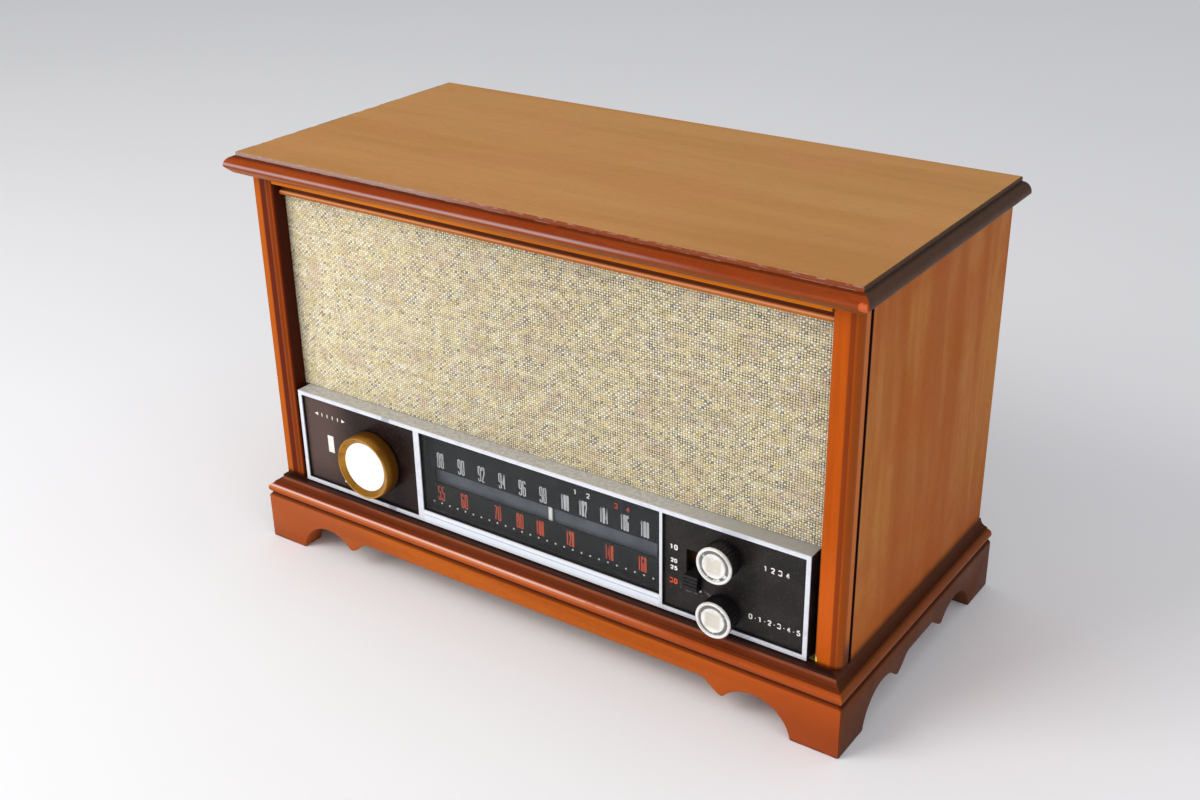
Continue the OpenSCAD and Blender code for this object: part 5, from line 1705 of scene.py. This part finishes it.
DIGIT_STROKES: dict[str, tuple[tuple[bool, tuple[Flat, ...]], ...]] = {
    "0": ((True, ((0, 0), (1, 0), (1, 1), (0, 1))),),
    "1": ((False, ((0.1, 0.8), (0.55, 1), (0.55, 0))),),
    "2": ((False, ((0, 0.76), (0, 1), (1, 1), (1, 0.6), (0, 0.04), (0, 0), (1, 0))),),
    "3": ((False, ((0, 0.8), (0, 1), (1, 1), (1, 0.53), (0.3, 0.53))),
          (False, ((0.3, 0.53), (1, 0.53), (1, 0), (0, 0), (0, 0.2)))),
    "4": ((False, ((0.74, 0), (0.74, 1), (0, 0.3), (1.05, 0.3))),),
    "5": ((False, ((0.95, 1), (0.04, 1), (0.04, 0.58), (1, 0.6), (1, 0), (0, 0), (0, 0.2))),),
    "6": ((False, ((1, 0.84), (1, 1), (0, 1), (0, 0), (1, 0), (1, 0.57), (0, 0.57))),),
    "7": ((False, ((0, 1), (1, 1), (1, 0.92), (0.36, 0))),),
    "8": ((True, ((0, 0), (1, 0), (1, 0.54), (0, 0.54))),
          (True, ((0.04, 0.54), (0.96, 0.54), (0.96, 1), (0.04, 1)))),
    "9": ((False, ((0, 0.16), (0, 0), (1, 0), (1, 1), (0, 1), (0, 0.43), (1, 0.43))),),
}


@dataclass(frozen=True)
class Label:
    """A number to print, in millimetres.

    Attributes:
        text: Its digits.
        x: Its middle.
        z: Its middle height.
        height: Height of a digit.
        width: Width of the whole number.
        stroke: Width of a stroke.
    """

    text: str
    x: float
    z: float
    height: float
    width: float
    stroke: float

    def along(self, count: int, step: float) -> list[Label]:
        """This number and those that follow it, at even steps along X."""
        return [replace(self, text=str(int(self.text) + i), x=self.x + step * i) for i in range(count)]


@dataclass
class Print:
    """Marks printed on a flat face that looks along -Y.

    Attributes:
        front: Place of the printed face along Y.
        ink: The ink.
        thick: Thickness of the ink.
        filled: How much of its share of a number's width a digit fills.
        rounded: Roundness of a digit's corners, as a share of its width.
        shape: The marks so far.
    """

    front: float
    ink: Ink
    thick: float = 0.06 * MM
    filled: float = 0.84
    rounded: float = 0.45
    shape: Shape = field(default_factory=Shape)

    def number(self, label: Label) -> None:
        """Prints a number.

        Args:
            label: The number, with its place and size.
        """
        width, stroke = label.width * MM, label.stroke * MM
        cell = width / len(label.text)
        wide, tall = cell * self.filled - stroke, label.height * MM - stroke
        foot = label.z * MM - tall / 2
        for i, digit in enumerate(label.text):
            left = label.x * MM - width / 2 + cell * (i + 0.5) - wide / 2
            for closed, corners in DIGIT_STROKES[digit]:
                line = [(left + wide * u, foot + tall * v) for u, v in corners]
                line = eased_line(line, wide * self.rounded, closed)
                self.shape.ribbon(line, stroke, self.front - self.thick, self.front, closed)

    def dot(self, x: float, z: float, radius: float, sides: int = 14) -> None:
        """Prints a dot."""
        outline = arc((x, z), radius, 0, 360 - 360 / sides, sides - 1)
        self.shape.slab(outline, self.front - self.thick, self.front)

    def bar(self, x: float, z: float, width: float, height: float) -> None:
        """Prints an upright or level bar.

        Args:
            x: Its middle.
            z: Its middle height.
            width: Its width.
            height: Its height.
        """
        half, up = width / 2, height / 2
        outline = [(x - half, z - up), (x + half, z - up), (x + half, z + up), (x - half, z + up)]
        self.shape.slab(outline, self.front - self.thick, self.front)

    def arrow(self, x: float, z: float, length: float, height: float) -> None:
        """Prints a triangle that points right, or left if its length is negative."""
        outline = [(x - length / 2, z - height / 2), (x + length / 2, z), (x - length / 2, z + height / 2)]
        self.shape.slab(outline if length > 0 else outline[::-1], self.front - self.thick, self.front)

    def build(self, name: str, slot: str) -> bpy.types.Object:
        """Makes the marks one piece."""
        return place_piece(self.shape.piece(name, 60), self.ink.finish())


@dataclass
class Dial:
    """The dial's printed scale, and the plain marks on the two panels.

    Attributes:
        upper: Numbers of the upper scale, with their places along X in millimetres.
        lower: Numbers of the lower scale, with theirs.
        dots: How many tuning dots there are.
        dot_span: Places of the first and last dot.
        dot_line: Height of the dots.
        white_headings: White numbers over the upper scale.
        orange_headings: Orange numbers over it.
        band_numbers: White numbers beside the band lever.
        band_number: The orange number beside it.
        tone_number: The first number beside the tone knob.
        tone_step: Distance between those numbers, in millimetres.
        volume_number: The first number beside the volume knob.
        volume_step: Distance between those numbers, in millimetres.
        volume_dots: Height and radius of the dots between them.
        tick_line: Height of the ticks and arrows beside the tuning knob.
        tick_tall: How tall they are.
    """

    upper: tuple[tuple[str, float], ...] = (
        ("88", -67.9), ("90", -52.7), ("92", -38.1), ("94", -23.5), ("96", -9.4), ("98", 4.8),
        ("100", 19.4), ("102", 31.3), ("104", 44.9), ("106", 58.1), ("108", 70.7))
    lower: tuple[tuple[str, float], ...] = (
        ("55", -68.8), ("60", -51.7), ("70", -27.8), ("80", -12.0), ("100", 1.9), ("120", 22.3),
        ("140", 48.0), ("160", 69.1))
    dots: int = 27
    dot_span: Flat = (-74.6 * MM, 76.0 * MM)
    dot_line: float = 53.5 * MM
    white_headings: tuple[Label, ...] = (
        Label("1", 26.4, 90.3, 3.2, 2.6, 0.65), Label("2", 34.9, 90.3, 3.2, 2.6, 0.65))
    orange_headings: tuple[Label, ...] = (
        Label("3", 52.8, 90.0, 3.4, 2.8, 0.7), Label("4", 60.3, 90.0, 3.4, 2.8, 0.7))
    band_numbers: tuple[Label, ...] = (
        Label("10", 92.0, 81.1, 3.2, 5.2, 0.75), Label("20", 92.2, 73.1, 2.5, 4.2, 0.6),
        Label("25", 92.2, 68.8, 2.5, 4.6, 0.6))
    band_number: Label = Label("30", 92.0, 60.9, 3.2, 5.2, 0.75)
    tone_number: Label = Label("1", 145, 86.4, 3.3, 2.6, 0.65)
    tone_step: float = 4.1
    volume_number: Label = Label("0", 137.5, 55.8, 3.2, 2.5, 0.62)
    volume_step: float = 5.4
    volume_dots: Flat = (55.6 * MM, 0.28 * MM)
    tick_line: float = 89.6 * MM
    tick_tall: float = 2.2 * MM

    def _scale(self) -> None:
        """Prints the two rows of numbers, the headings and the dots."""
        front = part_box("dial_scale")[0].y
        grey, red = Print(front, Ink.GREY), Print(front, Ink.RED)
        white, orange = Print(front, Ink.WHITE), Print(front, Ink.ORANGE)
        for row, numbers, z, height in ((grey, self.upper, 81.6, 9.6), (red, self.lower, 60, 9.4)):
            for text, x in numbers:
                row.number(Label(text, x, z, height, 5.6 if len(text) > 2 else 5.2, 0.72))
        first, last = self.dot_span
        for i in range(self.dots):
            white.dot(first + (last - first) * i / (self.dots - 1), self.dot_line, 0.55 * MM)
        for printed, headings in ((white, self.white_headings), (orange, self.orange_headings)):
            for label in headings:
                printed.number(label)
        grey.build("upper_scale_numbers", "print_grey")
        red.build("lower_scale_numbers", "print_orange")
        white.build("scale_dots", "print_white")
        orange.build("scale_heading", "print_orange")

    def _controls(self) -> None:
        """Prints plain numbers beside the band lever and the two small knobs."""
        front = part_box("control_panel")[0].y
        white, orange = Print(front, Ink.WHITE), Print(front, Ink.ORANGE)
        for label in (*self.band_numbers, *self.tone_number.along(4, self.tone_step)):
            white.number(label)
        orange.number(self.band_number)
        *numbers, last = self.volume_number.along(6, self.volume_step)
        for label in numbers:
            white.number(label)
            white.dot((label.x + self.volume_step / 2) * MM, *self.volume_dots)
        white.number(last)
        white.build("control_numbers", "print_white")
        orange.build("band_number", "print_orange")

    def _ticks(self) -> None:
        """Prints ticks and arrows beside the tuning knob, and two white bars that stand for glints on the
        glossy panel.
        """
        ticks = Print(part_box("tuning_panel")[0].y, Ink.WHITE)
        line, tall = self.tick_line, self.tick_tall
        for i in range(4):
            ticks.bar((-154.2 + 4.2 * i) * MM, line, 0.6 * MM, tall)
        ticks.arrow(-158.6 * MM, line, -2.6 * MM, tall)
        ticks.arrow(-137.2 * MM, line, 2.6 * MM, tall)
        # Two painted glints on the glossy panel, drawn as white bars.
        ticks.bar(-148.9 * MM, 71.6 * MM, 4.6 * MM, 11.0 * MM)
        ticks.bar(-138.8 * MM, 50.6 * MM, 2.8 * MM, 4.0 * MM)
        ticks.build("tuning_ticks_and_glints", "print_white")

    def build(self) -> None:
        """Prints everything."""
        self._scale()
        self._controls()
        self._ticks()


@dataclass
class TuningKnob:
    """A turned brass cup with a spun disc let into its face.

    Attributes:
        lip: Roundness of the cup's rim.
        hollow: Depth of its hollow back.
        rings: Turned grooves near the disc's edge.
        ring_step: Distance between two of them.
        facets: Facets round the knob.
    """

    finishes: dict[str, Finish]
    lip: float = 0.8 * MM
    hollow: float = 4 * MM
    rings: int = 3
    ring_step: float = 0.55 * MM
    facets: int = 128

    def _cup(self, radius: float, front: float, back: float, well: float, seat: float) -> list[Flat]:
        """The cup's outline.

        Args:
            radius: The cup's radius.
            front: Place of its rim along Y.
            back: Place of its back.
            well: Radius of the disc in it.
            seat: Place of the disc's back.

        Returns:
            Radius and place along Y, from the seat round the rim to the hollow back.
        """
        lip, floor = self.lip, back - self.hollow
        inner = radius - 0.2 * MM - 2 * lip
        return [
            (0.0, seat), (well + 0.15 * MM, seat), (well + 0.15 * MM, seat - 0.6 * MM),
            (well + 0.5 * MM, seat - 0.9 * MM), (inner - 0.3 * MM, front + 0.9 * MM),
            *arc((inner + lip, front + lip), lip, 200, 350, 12),
            (radius - 0.15 * MM, front + 3 * MM), (radius - 0.05 * MM, back - 4 * MM),
            (radius, back - 1.2 * MM), (radius - 0.15 * MM, back - 0.5 * MM),
            (radius - 0.6 * MM, back), (radius - 2.2 * MM, back),
            (radius - 2.6 * MM, floor), (0.0, floor)]

    def _face(self, radius: float, crown: float, seat: float) -> list[Flat]:
        """The disc's outline.

        Args:
            radius: The disc's radius.
            crown: Place of its middle along Y.
            seat: Place of its back.

        Returns:
            Radius and place along Y, from the crowned middle over the grooves to the back.
        """
        edge = crown + 0.5 * MM
        groove = radius - 1.0 * MM
        line = [(0.0, crown), (radius * 0.3, crown + 0.03 * MM), (radius * 0.6, crown + 0.18 * MM)]
        for i in range(self.rings):
            out = groove - (self.rings - 1 - i) * self.ring_step
            line += [(out - 0.2 * MM, edge - 0.08 * MM), (out, edge + 0.02 * MM),
                     (out + 0.15 * MM, edge - 0.06 * MM)]
        return [*line, (radius - 0.35 * MM, edge), (radius - 0.05 * MM, edge + 0.25 * MM),
                (radius, edge + 0.5 * MM), (radius, seat), (0.0, seat)]

    def build(self) -> None:
        """Makes the cup and the disc."""
        low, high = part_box("tuning_knob")
        disc_low, disc_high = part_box("tuning_knob_disc")
        crown, seat = disc_low.y, disc_high.y
        middle = middle_of("tuning_knob")
        well = (disc_high.x - disc_low.x) / 2
        shell, disc = Shape(), Shape()
        shell.turned(self._cup((high.x - low.x) / 2, low.y, high.y, well, seat), middle, self.facets)
        place_piece(shell.piece("tuning_knob_cup"), self.finishes["knob_brass"],
                    "tuning_control", ("tuning_knob",))
        disc.turned(self._face(well, crown, seat), middle, self.facets)
        place_piece(disc.piece("tuning_knob_face"), self.finishes["knob_disc"],
                    "tuning_control", ("tuning_knob_disc",))


@dataclass
class SmallKnob:
    """A fluted body under a chromed cap.

    Attributes:
        name: The control's name, as in its CAD nodes.
        flutes: How many flutes the body has.
        flute: Depth of a flute.
    """

    finishes: dict[str, Finish]
    name: str
    flutes: int = 30
    flute: float = 0.45 * MM

    def _body(self, low: Vector, high: Vector, middle: Flat) -> Shape:
        """The body, with a round-bottomed flute every few degrees and a soft front edge.

        Args:
            low: The low corner of the node's box.
            high: Its high corner.
            middle: The knob's axis in X and Z.

        Returns:
            Its shape.
        """
        radius = (high.x - low.x) / 2
        fine = 8 * self.flutes
        deep = high.y - low.y
        levels = ((0.0, 0.86), (0.25 * MM, 0.97), (0.7 * MM, 1.0), (deep - 0.4 * MM, 1.0), (deep, 0.965))
        rings: list[list[Point]] = []
        for depth, share in levels:
            ring = []
            for k in range(fine):
                angle = 2 * math.pi * k / fine
                wave = (0.5 - 0.5 * math.cos(self.flutes * angle)) ** 2
                out = (radius - self.flute * (1 - wave)) * share
                x, z = middle[0] + out * math.cos(angle), middle[1] + out * math.sin(angle)
                ring.append((x, low.y + depth, z))
            rings.append(ring)
        body = Shape()
        body.grid(rings, round_row=True)
        body.add(rings[0], [tuple(range(fine))])
        body.add(rings[-1], [tuple(range(fine))[::-1]])
        return body

    def _cap(self, low: Vector, high: Vector, middle: Flat) -> Shape:
        """The cap: a round rim, a dark ring and a dished middle.

        Args:
            low: The low corner of the node's box.
            high: Its high corner.
            middle: The knob's axis in X and Z.

        Returns:
            Its shape.
        """
        radius = (high.x - low.x) / 2
        front, back = low.y, high.y
        ring, hub = radius - 1.9 * MM, radius - 3.5 * MM
        profile = [
            (0.0, front + 0.42 * MM), (hub * 0.5, front + 0.36 * MM), (hub - 1.0 * MM, front + 0.2 * MM),
            *arc((hub - 0.5 * MM, front + 0.6 * MM), 0.5 * MM, 250, 360, 6),
            (hub + 0.15 * MM, front + 0.92 * MM), (ring, front + 0.92 * MM),
            *arc((ring + 0.95 * MM, front + 0.8 * MM), 0.8 * MM, 190, 330, 12),
            (radius, front + 0.75 * MM), (radius, back - 0.1 * MM), (radius - 0.2 * MM, back), (0.0, back)]
        cap = Shape()
        cap.turned(profile, middle)
        return cap

    def _chrome(self, middle: Flat, front: float) -> MetalFinish:
        """The cap's finish, dull in its middle and dark in its ring.

        Args:
            middle: The knob's axis in X and Z.
            front: Place of the cap's front along Y.

        Returns:
            The finish.
        """
        x, z = middle
        return MetalFinish(
            f"{self.name}_chrome", srgb(250, 249, 246), srgb(150, 142, 128), 0.16, Lay.SPUN, middle,
            tarnish=0.45, shine=0.35, marks=(
                Zone(srgb(206, 198, 180), x=span(x, -4.4, 4.4), z=span(z, -4.4, 4.4), soft=MM, strength=0.7,
                     broken=0.2, grain=3 * MM),
                Zone(srgb(92, 92, 90), y=span(front, 0.8, 1.1), soft=0.12 * MM, strength=0.9, broken=0.25,
                     grain=4 * MM)))

    def build(self) -> None:
        """Makes the body and the cap."""
        node, cap_node = f"{self.name}_knob", f"{self.name}_knob_cap"
        middle = middle_of(node)
        body = self._body(*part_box(node), middle).piece(f"{self.name}_knob_body", 50)
        place_piece(body, self.finishes["knob_body"], self.name, (node,))
        low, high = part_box(cap_node)
        cap = self._cap(low, high, middle).piece(f"{self.name}_knob_face", 40)
        place_piece(cap, self._chrome(middle, low.y), self.name, (cap_node,))


@dataclass
class RearScrews:
    """Slotted heads on the rear cover's screws.

    Attributes:
        head_r: Radius of a head.
        dome: Height of its dome.
        shank_r: Radius of the shank.
        tip_r: Radius of its tip.
        slot_w: Width of the slot.
        slot_d: Depth of the slot.
        facets: Facets round a screw.
    """

    finishes: dict[str, Finish]
    head_r: float = 4 * MM
    dome: float = 2.26 * MM
    shank_r: float = 1.6 * MM
    tip_r: float = 0.9 * MM
    slot_w: float = 0.9 * MM
    slot_d: float = 1.0 * MM
    facets: int = 40

    def _places(self) -> list[Flat]:
        """The middles of the six screws, from the node's own points.

        Returns:
            Their places in X and Z.
        """
        node = frame["nodes"]["cover_screws"]
        low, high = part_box("cover_screws")
        heights = [(node.matrix_world @ point.co).z for point in node.data.vertices]
        middle = [z for z in heights if abs(z - (low.z + high.z) / 2) < 3 * self.head_r]
        rows = [low.z + self.head_r, (min(middle) + max(middle)) / 2, high.z - self.head_r]
        return [(x, z) for x in (low.x + self.head_r, high.x - self.head_r) for z in rows]

    def _profile(self, front: float, back: float) -> list[Flat]:
        """A screw's radius and place along Y, from the middle of its head to its tip.

        Args:
            front: Place of the tip along Y.
            back: Place of the head's top.

        Returns:
            The outline's points.
        """
        seat = back - self.dome
        angles = [math.radians(a) for a in range(18, 90, 12)]
        head = [(self.head_r * math.sin(a), seat + self.dome * math.cos(a) ** 0.8) for a in angles]
        return [(0.0, back), (0.6 * MM, back), *head, (self.head_r, seat), (self.shank_r, seat),
                (self.shank_r, front + 2 * MM), (self.tip_r, front), (0.0, front)]

    def build(self) -> None:
        """Makes the six screws as one piece, each with its slot at its own angle."""
        low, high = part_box("cover_screws")
        crown = high.y - self.dome + 0.2 * MM
        screws = Shape()
        for number, (x, z) in enumerate(self._places()):
            turn = math.radians(37 * number + 12)
            rings: list[list[Point]] = []
            for radius, y in self._profile(low.y, high.y):
                ring = []
                for k in range(self.facets):
                    angle = turn + 2 * math.pi * k / self.facets
                    across = abs(radius * math.sin(angle - turn))
                    sunk = self.slot_d if y > crown and across < self.slot_w / 2 else 0.0
                    ring.append((x + radius * math.cos(angle), y - sunk, z + radius * math.sin(angle)))
                rings.append(ring)
            screws.grid(rings, round_row=True)
        place_piece(screws.piece("slotted_screws", 30), self.finishes["screw_brass"],
                    stands_for=("cover_screws",))


@dataclass(frozen=True)
class Lamp:
    """A square or oblong lamp that looks at the radio.

    Attributes:
        name: Its name.
        place: Where it hangs.
        size: Its width and height.
        share: Its power, as a share of the large lamp's.
        colour: Its colour.
        gleam: Whether it shows in a gloss.
    """

    name: str
    place: Point
    size: Flat
    share: float
    colour: Colour
    gleam: bool = False


@dataclass
class Studio:
    """The camera at the photograph's angle, a pale floor and soft light.

    Attributes:
        eye: The camera's place.
        turn: Its rotation about X, Y and Z, in degrees.
        lens: Its focal length on a sensor 36 mm wide.
        floor: The floor's colour.
        sky: Strength of the light from all round.
        mirrored: Strength of the surroundings in a gloss.
        backdrop: Strength of the surroundings in the picture.
        key: Power of the large lamp, in watts.
        aim: What the lamps look at.
        lamps: The lamps.
    """

    eye: Point = (0.44045, -0.63562, 0.47977)
    turn: Point = (64.2487, 0.9434, 34.8892)
    lens: float = 44.93
    floor: Colour = srgb(244, 245, 248)
    sky: float = 0.62
    mirrored: float = 0.2
    backdrop: float = 0.95
    key: float = 17.0
    aim: Point = (0.0, 0.0, 0.12)
    lamps: tuple[Lamp, ...] = (
        Lamp("key", (-0.8, -1.15, 1.15), (1.0, 1.0), 1.0, srgb(255, 252, 246)),
        Lamp("low_window", (-0.75, -1.25, 0.2), (1.3, 0.22), 0.22, srgb(244, 246, 255), gleam=True),
        Lamp("fill", (1.3, -0.8, 0.8), (1.2, 1.2), 0.35, srgb(250, 250, 255)))

    def camera(self) -> None:
        """Sets the camera."""
        data = bpy.data.cameras.new("camera")
        data.lens = self.lens
        data.sensor_width = 36.0
        data.sensor_fit = "HORIZONTAL"
        data.clip_start = 0.01
        made = linked("camera", data)
        made.location = self.eye
        made.rotation_euler = Euler([math.radians(a) for a in self.turn], "XYZ")
        bpy.context.scene.camera = made

    def hang(self, lamp: Lamp) -> None:
        """Hangs a lamp, which itself stays out of the picture.

        Args:
            lamp: The lamp.
        """
        data = bpy.data.lights.new(lamp.name, "AREA")
        data.shape = "RECTANGLE"
        data.size, data.size_y = lamp.size
        data.energy = self.key * lamp.share
        data.color = lamp.colour[:3]
        made = linked(lamp.name, data)
        made.location = lamp.place
        made.rotation_euler = (Vector(self.aim) - Vector(lamp.place)).to_track_quat("-Z", "Y").to_euler()
        made.visible_camera = False
        made.visible_glossy = lamp.gleam

    def ground(self) -> None:
        """Lays the floor, which shows its own pale colour and keeps the shadow."""
        reach = 6.0
        sheet = Shape()
        corners = [(-reach, -reach, 0.0), (reach, -reach, 0.0), (reach, reach, 0.0), (-reach, reach, 0.0)]
        sheet.add(corners, [(0, 1, 2, 3)])
        floor = sheet.piece("floor")
        made = bpy.data.materials.new("pale_floor")
        made.use_nodes = True
        made.node_tree.nodes.clear()
        tree = Tree(made.node_tree)
        place = tree.place()
        soft = tree.noise(place, 0.4, 2.0) * 0.04 + 0.98
        tree.output(tree.principled(Base_Color=soft * self.floor, Roughness=0.62, Specular_IOR_Level=0.3))
        floor.data.materials.append(made)
        floor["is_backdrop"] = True

    def sky_light(self) -> None:
        """Lights the scene from all round."""
        world = bpy.data.worlds.new("studio")
        world.use_nodes = True
        world.node_tree.nodes.clear()
        tree = Tree(world.node_tree)
        seen = tree.node("ShaderNodeLightPath", output="Is Camera Ray")
        glossy = tree.node("ShaderNodeLightPath", output="Is Glossy Ray")
        strength = seen.mix(glossy.mix(self.sky, self.mirrored), self.backdrop)
        sky = tree.node("ShaderNodeBackground", None, {"Color": srgb(246, 246, 248), "Strength": strength})
        tree.output(sky, "ShaderNodeOutputWorld")
        bpy.context.scene.world = world

    def build(self) -> None:
        """Sets up the studio."""
        bpy.context.scene.view_settings.view_transform = "Standard"
        self.camera()
        self.ground()
        self.sky_light()
        for lamp in self.lamps:
            self.hang(lamp)


def dress_nodes(finishes: dict[str, Finish]) -> None:
    """Gives every CAD node its own finish, or that of its slot.

    Args:
        finishes: Every finish, by slot or node.
    """
    slots = {part["node"]: part["material_slot"] for part in frame["record"]["subparts"]}
    for name, node in sorted(frame["nodes"].items()):
        finish = finishes.get(name) or finishes[slots[name]]
        node.data.materials.clear()
        node.data.materials.append(finish.material())
        log.info("node %s in %s", name, finish.name)


def write_sizes() -> None:
    """Works out the CAD box and the visual model's box, and does nothing more with them."""
    def plain(bounds: Sequence[Sequence[float]]) -> list[list[float]]:
        """A box as lists of numbers."""
        return [[float(value) for value in corner] for corner in bounds]
    sizes = {"cad": plain(cad_bounds), "visual": plain(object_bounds())}


def main() -> None:
    """Builds the studio, the finishes and the pieces, in order."""
    logging.basicConfig(level=logging.INFO, format="%(message)s")
    Studio().build()
    finishes = Finishes().named()
    dress_nodes(finishes)
    TopBoard(finishes).build()
    Base(finishes).build()
    LeftStile(finishes).build()
    Grille(finishes).build()
    Dial().build()
    TuningKnob(finishes).build()
    for name in ("tone", "volume"):
        SmallKnob(finishes, name).build()
    RearScrews(finishes).build()
    write_sizes()


if __name__ == "__main__":
    main()
